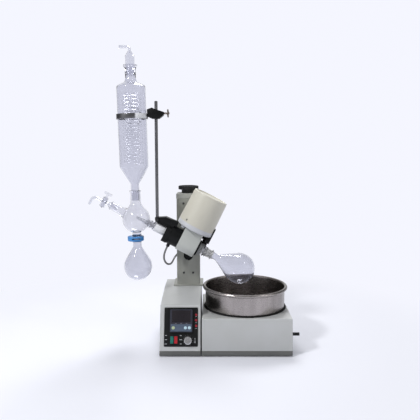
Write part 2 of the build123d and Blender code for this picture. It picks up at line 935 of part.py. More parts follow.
def gear_housing():
    """The barrel on the rotation axis, its back pad and the block up to the motor."""
    barrel = AXIS * disc(barrel_radius, barrel_left, barrel_right)
    neck = HEAD * block(barrel_left, barrel_right, -barrel_radius, barrel_radius, 0, ring_low)
    pad = HEAD * block(-bracket_hub, bracket_hub, 0, back_pad, -bracket_hub, bracket_hub)
    body = barrel + neck + pad
    body -= AXIS * disc(barrel_bore, barrel_left + end_wall, barrel_right - end_wall)
    body -= AXIS * disc(rear_bore, barrel_left - overrun, barrel_left + end_wall + overrun)
    mouth = spindle_radius + seat_gap + 2 * bearing_wall
    body -= AXIS * disc(mouth, barrel_right - end_wall - overrun, barrel_right + overrun)
    body -= HEAD * disc(neck_bore, 0, ring_low + overrun)
    start = back_pad - bracket_thick - pose_gap
    bore = Rot(-90, 0, 0) * disc(shaft_radius + running_gap, start, back_pad + overrun)
    return body - Pos(0, rotation_y, pivot_height) * bore


def head_bracket():
    """The black plate behind the barrel that turns on the tilt pin."""
    under_ring = ring_low - saddle_gap
    outline = make_face(
        Plane.XZ
        * Polyline(
            (0, -bracket_arm),
            (bracket_reach - bracket_arm, -bracket_arm),
            (bracket_reach, 0),
            (bracket_reach, under_ring),
            (bracket_web, under_ring),
            (bracket_web, bracket_arm),
            (0, bracket_arm),
            close=True,
        )
    )
    plate = extrude(outline, amount=bracket_thick, dir=(0, 1, 0))
    plate += Rot(-90, 0, 0) * disc(bracket_hub, 0, bracket_thick)
    plate = Pos(0, back_pad, 0) * plate
    inside = ring_radius + saddle_gap
    saddle = tube(inside + saddle_wall, saddle_inner, saddle_low, saddle_high)
    saddle -= disc(inside, under_ring, saddle_high + overrun)
    saddle &= block(0, 2 * ring_radius, saddle_front, back_pad + bracket_thick, saddle_low, saddle_high)
    plate = HEAD * (plate + saddle)
    bore = Rot(-90, 0, 0) * disc(shaft_radius + running_gap, -overrun, bracket_thick + overrun)
    plate -= Pos(0, rotation_y + back_pad, pivot_height) * bore
    x = lock_circle * cos(radians(lock_angle))
    z = lock_circle * sin(radians(lock_angle))
    thread = Rot(-90, 0, 0) * disc(lock_screw_radius + running_gap, -overrun, bracket_thick + overrun)
    return plate - Pos(x, rotation_y + back_pad, pivot_height + z) * thread


def motor_ring():
    """The grey ring that the motor stands in, bolted on the neck, with its steel spacer."""
    top = ring_low + ring_height
    ring = disc(ring_radius, ring_low, top)
    ring = chamfer(ring.faces().sort_by(Axis.Z)[0].edges(), ring_lip)
    ring -= disc(stator_radius + seat_gap, ring_low + ring_lip * 2, top + overrun)
    ring -= disc(motor_shaft_radius + running_gap, 0, top)
    return HEAD * (ring + Pos(stud_place, 0, 0) * disc(stud_radius, stud_low, ring_low))


def motor_cover():
    """The cream cap, slightly drafted, with a shallow recess in its top."""
    low = ring_low + ring_height
    high = low + cover_height
    outer = turned((0, low), (ring_radius, low), (cover_top_radius, high), (0, high))
    outer = fillet(outer.faces().sort_by(Axis.Z)[-1].edges(), cover_edge)
    outer -= disc(cover_recess_radius, high - cover_recess, high + overrun)
    roof = high - cover_recess - cover_wall
    inner = turned(
        (0, low - overrun),
        (ring_radius - cover_wall, low - overrun),
        (cover_top_radius - cover_wall, roof),
        (0, roof),
    )
    return HEAD * (outer - inner)


def motor_stator():
    """The wound field pack: a laminated ring between two coil rings, with the bearing bridge."""
    low = ring_low + ring_lip * 2
    pack_low = low + stator_seat
    body = tube(stator_radius, stator_bore, pack_low, pack_low + stator_height)
    body += tube(stator_radius, stator_radius - stator_seat / 2, low, pack_low)
    pack_high = pack_low + stator_height
    body += tube(stator_radius - ring_lip, stator_bore, pack_high, pack_high + stator_seat)
    return HEAD * body


def motor_rotor():
    """Armature, shaft and pinion, turned and cut as one piece."""
    pack_low = ring_low + ring_lip * 2 + stator_seat
    body = disc(stator_bore - rotor_gap, pack_low, pack_low + rotor_height)
    body += disc(motor_shaft_radius, crown_inner + pose_gap, motor_shaft_top)
    width = tooth_depth * pinion_tooth_share
    tooth = RectangleRounded(pinion_radius, width, width * 0.45)
    gear = Circle(pinion_radius - tooth_depth)
    for index in range(pinion_teeth):
        gear += Rot(0, 0, (index + 0.5) * 360 / pinion_teeth) * Pos(pinion_radius / 2, 0, 0) * tooth
    pinion = Pos(0, 0, crown_inner + pose_gap) * extrude(gear, amount=crown_radius - crown_inner - pose_gap)
    return HEAD * (body + pinion)


def bearing_place(low):
    """A ball bearing shown as its two rings and a ball ring between them."""
    inner = spindle_radius + running_gap
    outer = inner + 3 * bearing_wall
    return tube(outer, inner, low, low + bearing_width)


def spindle_bearings():
    """The two bearings and the thin seal ring in front of the barrel."""
    left = bearing_place(barrel_left - bearing_width)
    right = bearing_place(barrel_right - bearing_width - end_wall)
    inner = spindle_radius + running_gap
    seal = tube(seal_ring_radius, inner, barrel_right, barrel_right + seal_ring_thick)
    return AXIS * Compound([left, right, seal])


def rear_bearing_housing():
    """The black cylinder left of the barrel, with the cable gland underneath."""
    left = barrel_left - rear_length
    body = disc(rear_radius, left, barrel_left)
    body -= disc(rear_bore, left + end_wall, barrel_left + overrun)
    body -= disc(spindle_radius + pose_gap, left - overrun, barrel_left)
    body = AXIS * body
    gland = disc(gland_radius, rear_radius - overrun, rear_radius + gland_length)
    body += HEAD * Pos(gland_place, 0, 0) * Rot(180, 0, 0) * gland
    return body - AXIS * disc(rear_bore, left + end_wall, barrel_left + overrun)


def glassware_arm():
    """The black flange plate and the horn that carries the rod."""
    right = barrel_left - rear_length
    left = right - plate_length
    plate = block(left, right, -plate_half_width, plate_half_width, -plate_low, plate_high)
    plate = fillet(plate.edges().filter_by(Axis.X), plate_half_width / 2)
    horn_points = [
        (left + overrun, 0),
        (right, 0),
        (right, rear_radius + seat_gap),
        (right + horn_tip, rear_radius + seat_gap),
        (right + horn_tip - overrun, horn_top_right),
        (left - horn_shoulder, horn_top_right - overrun),
        (left - horn_reach, horn_top_left),
        (left - horn_reach + horn_cut, horn_bottom),
        (left, horn_bottom),
    ]
    horn_face = make_face(Plane.XZ * Polyline(*horn_points, close=True))
    horn = extrude(horn_face, amount=horn_half_width, both=True)
    body = HEAD * (plate + horn)
    body -= AXIS * disc(spindle_radius + pose_gap, left - overrun, right + overrun)
    body -= Pos(rod_x, rotation_y, 0) * disc(rod_radius + seat_gap, rod_low, rod_high)
    bolt = Rot(90, 0, 0) * disc(lock_bolt_radius / 2 + running_gap, 0, 2 * horn_half_width)
    return body - Pos(rod_x, rotation_y, lock_bolt_height) * bolt


def rod_lock_screw():
    """The ring headed screw that clamps the rod in the horn."""
    start = rod_radius + pose_gap
    face = horn_half_width + pose_gap
    screw = disc(lock_bolt_radius / 2, start, face)
    screw += tube(lock_bolt_radius, lock_bolt_radius / 3, face, face + lock_bolt_head)
    return Pos(rod_x, rotation_y, lock_bolt_height) * Rot(90, 0, 0) * screw


def duct_collar():
    """The white collar that holds the shaft seal."""
    right = barrel_left - rear_length - plate_length
    left = right - collar_length
    bore = duct_radius + running_gap
    collar = turned(
        (bore, left),
        (collar_radius, left),
        (collar_radius, right),
        (spindle_radius - overrun, right),
        (spindle_radius - overrun, left + collar_lip),
        (bore, left + collar_lip),
    )
    return AXIS * collar


def support_rod():
    rod = disc(rod_radius, rod_low, rod_high)
    rod = chamfer(rod.faces().sort_by(Axis.Z)[-1].edges(), rod_radius / 4)
    return Pos(rod_x, rotation_y, 0) * rod


# Rotating parts


def spindle():
    """The hollow steel spindle in the two bearings."""
    left = barrel_left - rear_length - plate_length + overrun
    right = nut_start + nut_length / 2
    return AXIS * tube(spindle_radius, spindle_bore, left, right)


def crown_gear():
    """A face gear whose straight teeth mesh with the motor's pinion."""
    body = tube(crown_radius, spindle_radius, crown_face - crown_thick, crown_face - tooth_depth)
    tooth_length = crown_radius - crown_inner
    width = pi * (crown_radius + crown_inner) / crown_teeth * crown_tooth_share
    tooth = Box(tooth_length * 0.9, width, 2 * tooth_depth)
    tooth = Pos((crown_radius + crown_inner) / 2, 0, crown_face - tooth_depth) * tooth
    for index in range(crown_teeth):
        body += Rot(0, 0, index * 360 / crown_teeth) * tooth
    return AXIS * body


def flask_nut():
    """The knurled nut that holds the flask joint on the spindle."""
    right = nut_start + nut_length
    body = tube(nut_radius, spindle_radius, nut_start, nut_start + nut_length / 2)
    body += tube(nut_radius, socket_radius, nut_start + nut_length / 2, right)
    groove = Cylinder(nut_rib_depth, nut_length - 4 * nut_rib_depth)
    groove = Pos(nut_radius, 0, nut_start + nut_length / 2) * groove
    for index in range(nut_ribs):
        body -= Rot(0, 0, index * 360 / nut_ribs) * groove
    return AXIS * body


def vapour_duct():
    """The duct through the spindle, from the ground cone for the flask to the nozzle in the bulb."""
    end = cone_start + cone_length
    duct = turned(
        (duct_bore, duct_left),
        (duct_radius, duct_left),
        (duct_radius, cone_start - 2 * overrun),
        (cone_radius, cone_start),
        (cone_radius - cone_taper, end),
        (duct_bore, end),
    )
    return AXIS * (duct + duct_nozzle())


def duct_nozzle():
    """The tapered nozzle that reaches to the middle of the bulb."""
    nozzle = turned(
        (nozzle_tip_bore, nozzle_tip),
        (nozzle_tip_radius, nozzle_tip),
        (duct_radius, nozzle_cone_start),
        (duct_radius, duct_left),
        (duct_bore, duct_left),
        (duct_bore, nozzle_cone_start),
    )
    return nozzle


def vessel(radius, neck_radius, neck_height, top):
    """A round vessel with its middle at the origin and a tangent cone up to its neck."""
    distance = sqrt(neck_radius**2 + neck_height**2)
    turn = atan2(neck_height, neck_radius) - acos(radius / distance)
    middle = (turn - pi / 2) / 2
    bowl = ThreePointArc(
        (0, -radius),
        (radius * cos(middle), radius * sin(middle)),
        (radius * cos(turn), radius * sin(turn)),
    )
    sides = Polyline(bowl @ 1, (neck_radius, neck_height), (neck_radius, top), (0, top), (0, -radius))
    return revolve(make_face(Plane.XZ * (bowl + sides)), Axis.Z)


def evaporating_flask():
    neck_height = flask_place - flask_neck_place
    end = flask_place - socket_end
    mouth = flask_place - socket_mouth
    outer = vessel(flask_radius, flask_neck_radius, neck_height, end)
    inner = vessel(flask_radius - flask_wall, flask_neck_radius - flask_wall, neck_height, end + overrun)
    outer += turned(
        (0, end - 2 * flask_wall),
        (flask_neck_radius, end - 2 * flask_wall),
        (socket_radius - flask_wall, end),
        (socket_radius, mouth),
        (0, mouth),
    )
    outer += disc(socket_bead, mouth - socket_bead_width, mouth)
    socket_top = cone_radius + seat_gap
    cone_end = flask_place - cone_start - cone_length
    inner += turned((0, end), (socket_top - cone_taper, cone_end), (socket_top, mouth), (0, mouth))
    inner += disc(socket_top, mouth - overrun / 2, mouth + overrun)
    return AXIS * Pos(0, 0, flask_place) * Rot(180, 0, 0) * (outer - inner)


def wire_clip(radius, wire, start, end):
    """Two wire rings joined by springy side wires."""
    ring = Torus(radius, wire)
    body = Pos(0, 0, start) * ring + Pos(0, 0, end) * ring
    side = disc(wire, start, end)
    for turn in (90, 270):
        body += Rot(0, 0, turn) * Pos(radius, 0, 0) * side
    return AXIS * body


def flask_clip():
    return wire_clip(clip_ring_radius, clip_wire, clip_start, clip_end)


# Fixed glass


def distributor_bulb():
    """The bulb with its right port, drip tube, top socket and feed socket."""
    port_length = port_axial + port_end
    outer = Sphere(bulb_radius)
    inner = Sphere(bulb_radius - glass_wall)
    fairing_end = -drip_length + keck_height / 2
    outer += turned(
        (0, 0),
        (drip_radius + 2 * glass_wall, -bulb_radius * 0.9),
        (drip_radius, fairing_end),
        (0, fairing_end),
    )
    outer += disc(drip_radius, -drip_length, 0)
    inner += disc(drip_radius - glass_wall, -drip_length - overrun - joint_flange_thick, 0)
    outer += disc(joint_flange_radius, -drip_length - joint_flange_thick / 2, -drip_length)
    outer += turned(
        (0, 0),
        (bulb_radius * 0.6, bulb_radius * 0.8),
        (top_socket_radius, top_socket_low + 3 * overrun),
        (top_socket_radius, top_socket_high),
        (0, top_socket_high),
    )
    outer += tube(top_bead_radius, top_socket_radius - overrun, top_socket_high - bead_width, top_socket_high)
    inner += disc(condenser_neck_radius + seat_gap, 0, top_socket_high + overrun)
    outer = GLASS * outer
    inner = GLASS * inner
    outer += AXIS * disc(port_radius, -port_axial, port_end)
    outer += AXIS * disc(port_flange_radius, port_end - port_flange_width, port_end)
    inner += AXIS * disc(port_radius - glass_wall, -port_axial, port_end + overrun)
    outer += FEED * disc(feed_socket_radius, 0, feed_socket_end)
    feed_bead = feed_socket_radius + glass_wall
    outer += FEED * disc(feed_bead, feed_socket_end - 2 * glass_wall, feed_socket_end)
    inner += FEED * disc(feed_socket_radius - glass_wall, 0, feed_socket_end + overrun)
    return outer - inner


def bulb_clip():
    radius = port_radius + port_clip_wire + seat_gap
    return wire_clip(radius, port_clip_wire, port_clip_start, port_clip_end)


def keck_clip():
    """The blue plastic clip round the receiver joint."""
    level = -drip_length - joint_flange_thick / 2
    outer = extrude(Ellipse(keck_width, keck_depth), amount=keck_height / 2, both=True)
    outer = fillet(outer.faces().sort_by(Axis.Z)[-1].edges(), keck_height / 5)
    outer = fillet(outer.faces().sort_by(Axis.Z)[0].edges(), keck_height / 5)
    outer = Pos(-keck_shift, 0, 0) * outer
    outer -= Cylinder(joint_flange_radius + seat_gap, joint_flange_thick + 4 * seat_gap)
    outer -= Cylinder(drip_radius + pose_gap, 2 * keck_height)
    outer -= Pos(0, -keck_depth, 0) * Box(keck_width, keck_depth, keck_window)
    return GLASS * Pos(0, 0, level) * outer


def receiving_flask():
    """The pear shaped receiver with a flanged joint at its mouth."""
    mouth = receiver_drop - drip_length - joint_flange_thick / 2 - seat_gap
    outer = vessel(receiver_radius, drip_radius, receiver_neck_height, mouth)
    bore = drip_radius - glass_wall
    inner = vessel(receiver_radius - glass_wall, bore, receiver_neck_height, mouth + overrun)
    outer += disc(joint_flange_radius, mouth - joint_flange_thick / 2, mouth)
    return GLASS * Pos(0, 0, -receiver_drop) * (outer - inner)


def condenser_shell():
    """The jacket: ground cone, narrow neck, long body, shoulder and upper socket."""
    cone_top = condenser_neck_radius
    outline = [
        (0, condenser_cone_low),
        (cone_top - cone_taper, condenser_cone_low),
        (cone_top, top_socket_high),
        (cone_top, condenser_neck_high),
        (condenser_radius, condenser_body_low),
        (condenser_radius, condenser_body_high),
        (upper_neck_radius + 2 * glass_wall, condenser_body_high + condenser_shoulder),
        (upper_neck_radius, condenser_body_high + 2 * condenser_shoulder),
        (upper_neck_radius, upper_neck_high),
        (0, upper_neck_high),
    ]
    outer = turned(*outline)
    inner = turned(*[(max(radius - glass_wall, 0), height) for radius, height in outline])
    outer += disc(upper_bead_radius, upper_neck_high - glass_wall, upper_neck_high)
    body = outer - inner
    body -= disc(cone_top - 2 * glass_wall, condenser_cone_low - overrun, condenser_neck_high)
    body -= disc(upper_neck_radius - glass_wall, upper_cone_low, upper_neck_high + overrun)
    hole_start = condenser_radius - 4 * glass_wall
    hole = Rot(-90, 0, 0) * disc(coil_tube + seat_gap, hole_start, condenser_radius + overrun)
    for level in (coil_low, coil_low + coil_pitch * coil_turns):
        body -= Pos(0, 0, level) * hole
    return GLASS * body


def condenser_coil():
    """The glass cooling coil and its two water nozzles through the back of the jacket."""
    path = Helix(pitch=coil_pitch, height=coil_pitch * coil_turns, radius=coil_radius)
    section = Plane(origin=path @ 0, z_dir=path % 0) * Circle(coil_tube)
    coil = sweep(section, path=path, is_frenet=True)
    reach = condenser_radius + nozzle_reach
    for level in (0, coil_pitch * coil_turns):
        elbow = Pos(coil_radius, 0, level) * Sphere(coil_tube * 1.04)
        lead = disc(coil_tube, coil_radius, reach) + disc(nozzle_radius, reach - nozzle_length, reach)
        coil += elbow + Pos(0, 0, level) * Rot(0, 90, 0) * lead
    return GLASS * Pos(0, 0, coil_low) * Rot(0, 0, 90) * coil


def vacuum_adapter():
    """The plug in the condenser's top that leads to the vacuum line."""
    plug = upper_neck_radius - glass_wall - seat_gap
    outer = turned(
        (0, upper_cone_low),
        (plug - cone_taper, upper_cone_low),
        (plug, upper_neck_high + glass_wall),
        (adapter_radius, upper_neck_high + 2 * glass_wall),
        (adapter_radius, adapter_shoulder),
        (adapter_tube_radius, adapter_shoulder + adapter_taper),
        (0, adapter_shoulder + adapter_taper),
    )
    inner = turned(
        (0, upper_cone_low - overrun),
        (plug - cone_taper - glass_wall, upper_cone_low - overrun),
        (plug - glass_wall, upper_neck_high),
        (adapter_radius - glass_wall, adapter_shoulder - glass_wall),
        (adapter_tube_bore, adapter_shoulder + adapter_taper - glass_wall),
        (0, adapter_shoulder + adapter_taper - glass_wall),
    )
    low = adapter_shoulder + adapter_taper - glass_wall
    route = ((0, 0, low), (0, 0, adapter_top), (-adapter_reach, 0, adapter_top))
    path = FilletPolyline(*route, radius=adapter_bend_radius)
    start = Plane(origin=(0, 0, low), z_dir=(0, 0, 1))
    pipe = sweep(start * Circle(adapter_tube_radius), path=path)
    bore = sweep(start * Circle(adapter_tube_bore), path=path)
    spigot = Rot(0, 90, 0) * disc(adapter_spigot_radius, -adapter_reach, adapter_spigot - adapter_reach)
    spigot = Pos(0, 0, adapter_top) * spigot
    return GLASS * (outer + pipe + spigot - inner - bore)


def feed_stopcock():
    """The inlet cone, the cross barrel of the cock and the bent outlet tube."""
    body = turned(
        (0, feed_cone_start),
        (feed_socket_radius - glass_wall - cone_taper, feed_cone_start),
        (feed_socket_radius - glass_wall - seat_gap, feed_socket_end),
        (feed_tube_radius, feed_socket_end + 5 * glass_wall),
        (feed_tube_radius, cock_place),
        (0, cock_place),
    )
    barrel = disc(cock_barrel_radius, -cock_barrel_high, cock_barrel_low)
    barrel = Pos(0, 0, cock_place) * Rot(0, -90, 0) * barrel
    end = cock_place + outlet_run
    route = ((0, 0, cock_place), (0, 0, end), (-outlet_reach, 0, end))
    path = FilletPolyline(*route, radius=outlet_bend)
    start = Plane(origin=(0, 0, cock_place), z_dir=(0, 0, 1))
    pipe = sweep(start * Circle(feed_tube_radius), path=path)
    bore = sweep(start * Circle(feed_tube_bore), path=path)
    body = body + barrel + pipe - bore - disc(feed_tube_bore, feed_cone_start - overrun, cock_place)
    return FEED * (body - plug_form(running_gap))


def plug_form(gap):
    """The tapered plug of the cock, larger by the gap, lying across the feed tube."""
    plug = turned(
        (0, -cock_barrel_high - overrun),
        (plug_radius + gap + plug_taper / 2, -cock_barrel_high - overrun),
        (plug_radius + gap - plug_taper / 2, cock_barrel_low + overrun),
        (0, cock_barrel_low + overrun),
    )
    return Pos(0, 0, cock_place) * Rot(0, -90, 0) * plug


def stopcock_key():
    """The plug with its cross bore, waisted stem and wing handle."""
    plug = plug_form(0)
    stem = disc(plug_radius * 0.7, -handle_rise - handle_height / 2, -cock_barrel_high)
    tip = turned(
        (0, cock_barrel_low),
        (plug_radius - plug_taper, cock_barrel_low),
        (plug_taper, plug_tip),
        (0, plug_tip),
    )
    handle = Box(handle_width, handle_thick, handle_height)
    handle = Pos(0, 0, -handle_rise - handle_height / 2) * handle
    handle = fillet(handle.edges().filter_by(Axis.Y), handle_height * 0.45)
    key = plug + Pos(0, 0, cock_place) * Rot(0, -90, 0) * (stem + tip + handle)
    half_bore = 2 * plug_radius
    return FEED * (key - disc(feed_tube_bore, cock_place - half_bore, cock_place + half_bore))


# Condenser clamp


def clamp_axis():
    return GLASS * Pos(0, 0, clamp_level)


def clamp_lining():
    outer = condenser_radius + pose_gap + lining_thick
    ring = tube(outer, condenser_radius + pose_gap, -band_height / 2, band_height / 2)
    split = Pos(outer, 0, 0) * Box(4 * lining_thick, 4 * lining_thick, 2 * band_height)
    return clamp_axis() * (ring - split)


def clamp_band():
    """The steel strap round the lining, open on its right front."""
    inner = condenser_radius + pose_gap + lining_thick + seat_gap
    outer = inner + band_thick
    ring = tube(outer, inner, -band_height / 2, band_height / 2)
    open_depth = 2 * outer - 2 * boss_depth / 3
    open_side = Pos(band_end + outer, -outer, 0) * Box(2 * outer, open_depth, 2 * band_height)
    return clamp_axis() * (ring - open_side)


def clamp_boss():
    """The black casting between the condenser and the rod, tapering to the thumb screw."""
    outline = make_face(
        Plane.XZ
        * Polyline(
            (boss_left, -boss_low * 0.6),
            (boss_left * 0.7 + boss_right * 0.3, -boss_low),
            (rod_x + 2 * rod_radius, -boss_low),
            (boss_right, -boss_low * 0.35),
            (boss_right, boss_low * 0.25),
            (rod_x + 2 * rod_radius, boss_high * 0.5),
            (rod_x - rod_radius, boss_high * 0.8),
            (boss_left * 0.7 + boss_right * 0.3, boss_high),
            (boss_left, boss_high * 0.7),
            close=True,
        )
    )
    body = extrude(outline, amount=boss_depth / 2, both=True)
    level = bulb_height + clamp_level + boss_rise
    body = Pos(0, rotation_y, level) * body
    clear = condenser_radius + pose_gap + lining_thick + band_thick + 2 * seat_gap
    body -= clamp_axis() * Cylinder(clear, 4 * boss_depth)
    body -= Pos(rod_x, rotation_y, level) * Cylinder(rod_radius + seat_gap, 4 * boss_high)
    bore = Rot(0, 90, 0) * disc(wing_shaft_radius + running_gap, rod_x + rod_radius, boss_right + overrun)
    return body - Pos(0, rotation_y, level) * bore


def clamp_thumb_screw():
    """The steel screw that pinches the rod, with a cross handle."""
    start = rod_x + rod_radius + pose_gap
    end = boss_right + wing_shaft_length
    body = disc(wing_shaft_radius, start, end)
    bar = Pos(0, 0, end - wing_bar_radius * 2) * Rot(0, 90, 0) * Cylinder(wing_bar_radius, wing_bar_length)
    for turn in (30, 120):
        body += Rot(0, 0, turn) * bar
    level = bulb_height + clamp_level + boss_rise
    return Pos(0, rotation_y, level) * Rot(0, 90, 0) * body


# Signal cable


def cable_radii():
    """The arc at each corner of the route, as large as its two runs allow."""
    points = [Vector(*point) for point in cable_route]
    radii = []
    for before, here, after in zip(points, points[1:], points[2:]):
        arriving = here - before
        leaving = after - here
        half_turn = radians(arriving.get_angle(leaving)) / 2
        radii.append(arc_share * min(arriving.length, leaving.length) / tan(half_turn))
    return radii


def signal_cable():
    radii = cable_radii()
    path = FilletPolyline(*cable_route, radius=radii)
    start = Plane(origin=path @ 0, z_dir=path % 0)
    lead = sweep(start * Circle(cable_radius), path=path)
    print("cable arc radii", [round(radius, 1) for radius in radii])
    section = pi * cable_radius**2
    print("cable length", round(path.length, 1), "volume check", round(lead.volume / section, 1))
    return lead


nodes = {
    "base_tray": base_tray,
    "rubber_feet": rubber_feet,
    "control_housing": control_housing,
    "bath_housing": bath_housing,
    "fascia_panel": fascia_panel,
    "temperature_controller": temperature_controller,
    "display_window": display_window,
    "speed_knob": speed_knob,
    "indicator_lamps": indicator_lamps,
    "mains_inlet": mains_inlet,
    "bath_pot": bath_pot,
    "bath_gasket": bath_gasket,
    "bath_heater": bath_heater,
    "drain_nipple": drain_nipple,
    "column": column,
    "column_cap": column_cap,
    "column_screws": column_screws,
    "guide_rods": guide_rods,
    "lead_screw": lead_screw,
    "lift_knob": lift_knob,
    "carriage": carriage,
    "pivot_shaft": pivot_shaft,
    "tilt_lock_knob": tilt_lock_knob,
    "gear_housing": gear_housing,
    "head_bracket": head_bracket,
    "motor_ring": motor_ring,
    "motor_cover": motor_cover,
    "motor_stator": motor_stator,
    "motor_rotor": motor_rotor,
    "spindle_bearings": spindle_bearings,
    "rear_bearing_housing": rear_bearing_housing,
    "glassware_arm": glassware_arm,
    "rod_lock_screw": rod_lock_screw,
    "duct_collar": duct_collar,
    "support_rod": support_rod,
    "spindle": spindle,
    "crown_gear": crown_gear,
    "flask_nut": flask_nut,
    "vapour_duct": vapour_duct,
    "evaporating_flask": evaporating_flask,
    "flask_clip": flask_clip,
    "distributor_bulb": distributor_bulb,
    "bulb_clip": bulb_clip,
    "keck_clip": keck_clip,
    "receiving_flask": receiving_flask,
    "condenser_shell": condenser_shell,
    "condenser_coil": condenser_coil,
    "vacuum_adapter": vacuum_adapter,
    "feed_stopcock": feed_stopcock,
    "stopcock_key": stopcock_key,
    "clamp_lining": clamp_lining,
    "clamp_band": clamp_band,
    "clamp_boss": clamp_boss,
    "clamp_thumb_screw": clamp_thumb_screw,
    "signal_cable": signal_cable,
}


def build_pieces():
    pieces = {name: make() for name, make in nodes.items()}
    for name, place in key_places.items():
        pieces[name] = controller_key(place)
    for name, place in rocker_places.items():
        pieces[name] = rocker(place)
    return pieces


def origin_shift(pieces):
    """Move the origin to the middle of the whole outline, on the bench."""
    box = Compound(list(pieces.values())).bounding_box()
    return Pos(-(box.min.X + box.max.X) / 2, -(box.min.Y + box.max.Y) / 2, -box.min.Z)


if __name__ == "__main__":
    pieces = build_pieces()
    shift = origin_shift(pieces)
    os.makedirs("parts", exist_ok=True)
    for name, piece in pieces.items():
        export_step(shift * piece, os.path.join("parts", name + ".step"))
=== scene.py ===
import json
from math import acos, asin, atan2, cos, hypot, pi, radians, sin, tan

import bmesh
import bpy
from mathutils import Matrix, Vector

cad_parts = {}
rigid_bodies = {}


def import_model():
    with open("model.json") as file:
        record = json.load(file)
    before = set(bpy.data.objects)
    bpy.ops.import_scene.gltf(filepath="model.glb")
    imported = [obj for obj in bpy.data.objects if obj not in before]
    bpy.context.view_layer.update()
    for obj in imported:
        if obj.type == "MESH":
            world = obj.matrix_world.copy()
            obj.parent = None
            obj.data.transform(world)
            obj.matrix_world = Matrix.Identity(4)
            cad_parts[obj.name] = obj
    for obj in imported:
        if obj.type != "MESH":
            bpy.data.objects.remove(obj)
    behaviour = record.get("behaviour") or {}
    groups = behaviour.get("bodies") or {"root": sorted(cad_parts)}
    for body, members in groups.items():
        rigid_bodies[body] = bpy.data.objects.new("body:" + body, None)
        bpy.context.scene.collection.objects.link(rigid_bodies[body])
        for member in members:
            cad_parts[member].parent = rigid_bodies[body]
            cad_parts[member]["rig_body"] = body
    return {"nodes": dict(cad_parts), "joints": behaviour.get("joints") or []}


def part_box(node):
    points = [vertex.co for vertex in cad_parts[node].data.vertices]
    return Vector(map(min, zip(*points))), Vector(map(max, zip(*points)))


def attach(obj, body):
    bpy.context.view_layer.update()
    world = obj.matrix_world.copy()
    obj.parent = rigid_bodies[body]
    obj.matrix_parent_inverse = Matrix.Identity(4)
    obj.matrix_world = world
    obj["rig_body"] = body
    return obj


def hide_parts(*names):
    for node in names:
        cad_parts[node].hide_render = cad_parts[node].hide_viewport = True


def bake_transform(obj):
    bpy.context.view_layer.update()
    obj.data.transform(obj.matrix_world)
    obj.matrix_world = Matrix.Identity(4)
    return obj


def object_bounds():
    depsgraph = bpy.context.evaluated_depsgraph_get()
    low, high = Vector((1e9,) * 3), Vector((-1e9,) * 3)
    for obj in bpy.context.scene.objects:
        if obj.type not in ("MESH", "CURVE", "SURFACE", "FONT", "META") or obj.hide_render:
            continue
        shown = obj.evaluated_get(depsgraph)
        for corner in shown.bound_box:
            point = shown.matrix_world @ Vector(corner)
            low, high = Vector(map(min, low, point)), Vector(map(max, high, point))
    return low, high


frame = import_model()
cad_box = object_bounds()


# Studio: a pale board that the machine stands on and one even tone all round it. Two square soft lamps
# stand in front and one above, and the board keeps the machine's own soft shadow.
room_tone = (0.913, 0.923, 1.0, 1.0)
board_tone = (0.79, 0.80, 0.865, 1.0)
board_side = 8.0
board_shadow_reach = 0.55
board_fade = 0.5
room_levels = (
    (0.0, 0.34), (0.22, 0.45), (0.34, 1.0), (0.45, 0.5), (0.56, 0.16), (0.76, 0.18), (0.88, 0.7), (1.0, 0.95)
)


def node(tree, kind, inputs=None, **settings):
    """Add one node with its options. Each input takes a plain value or the output of another node."""
    made = tree.nodes.new(kind)
    for name, value in settings.items():
        setattr(made, name, value)
    for name, value in (inputs or {}).items():
        if isinstance(value, bpy.types.NodeSocket):
            tree.links.new(value, made.inputs[name])
        else:
            made.inputs[name].default_value = value
    return made


def reckoned(tree, operation, *values):
    """The result of a sum over plain values or the outputs of other nodes."""
    return node(tree, "ShaderNodeMath", dict(enumerate(values)), operation=operation).outputs[0]


def mixed(tree, share, first, second):
    """One shader blended into another by a share."""
    return node(tree, "ShaderNodeMixShader", {0: share, 1: first.outputs[0], 2: second.outputs[0]})


def seen_by(tree, *kinds):
    """1 for rays of the given kinds, such as those from the camera, and 0 for the others."""
    path = node(tree, "ShaderNodeLightPath")
    seen = path.outputs[kinds[0]]
    for kind in kinds[1:]:
        seen = reckoned(tree, "MAXIMUM", seen, path.outputs[kind])
    return seen


def room_in_gloss(tree):
    """What gloss sees of the room: pale screens at both sides in front, dark gaps behind them."""
    way = node(tree, "ShaderNodeTexCoord").outputs["Generated"]
    parts = node(tree, "ShaderNodeSeparateXYZ", {0: way})
    side = reckoned(tree, "ABSOLUTE", parts.outputs["X"])
    front = reckoned(tree, "MULTIPLY", parts.outputs["Y"], -1.0)
    share = reckoned(tree, "DIVIDE", reckoned(tree, "ARCTAN2", side, front), pi)
    ramp = node(tree, "ShaderNodeValToRGB", {0: share})
    while len(ramp.color_ramp.elements) < len(room_levels):
        ramp.color_ramp.elements.new(0.5)
    for element, (at, level) in zip(ramp.color_ramp.elements, room_levels):
        element.position = at
        element.color = (level * 0.98, level * 0.985, level, 1)
    return ramp.outputs["Color"]


def room_light():
    world = bpy.data.worlds.new("pale_room")
    world.use_nodes = True
    tree = world.node_tree
    tree.nodes.clear()
    soft = node(tree, "ShaderNodeBackground", {"Color": (0.97, 0.98, 1.0, 1), "Strength": 0.52})
    screens = node(tree, "ShaderNodeBackground", {"Color": room_in_gloss(tree), "Strength": 1.0})
    plain = node(tree, "ShaderNodeBackground", {"Color": room_tone, "Strength": 1.0})
    gloss = mixed(tree, seen_by(tree, "Is Glossy Ray"), soft, screens)
    both = mixed(tree, seen_by(tree, "Is Camera Ray", "Is Transmission Ray"), gloss, plain)
    node(tree, "ShaderNodeOutputWorld", {0: both.outputs[0]})
    return world


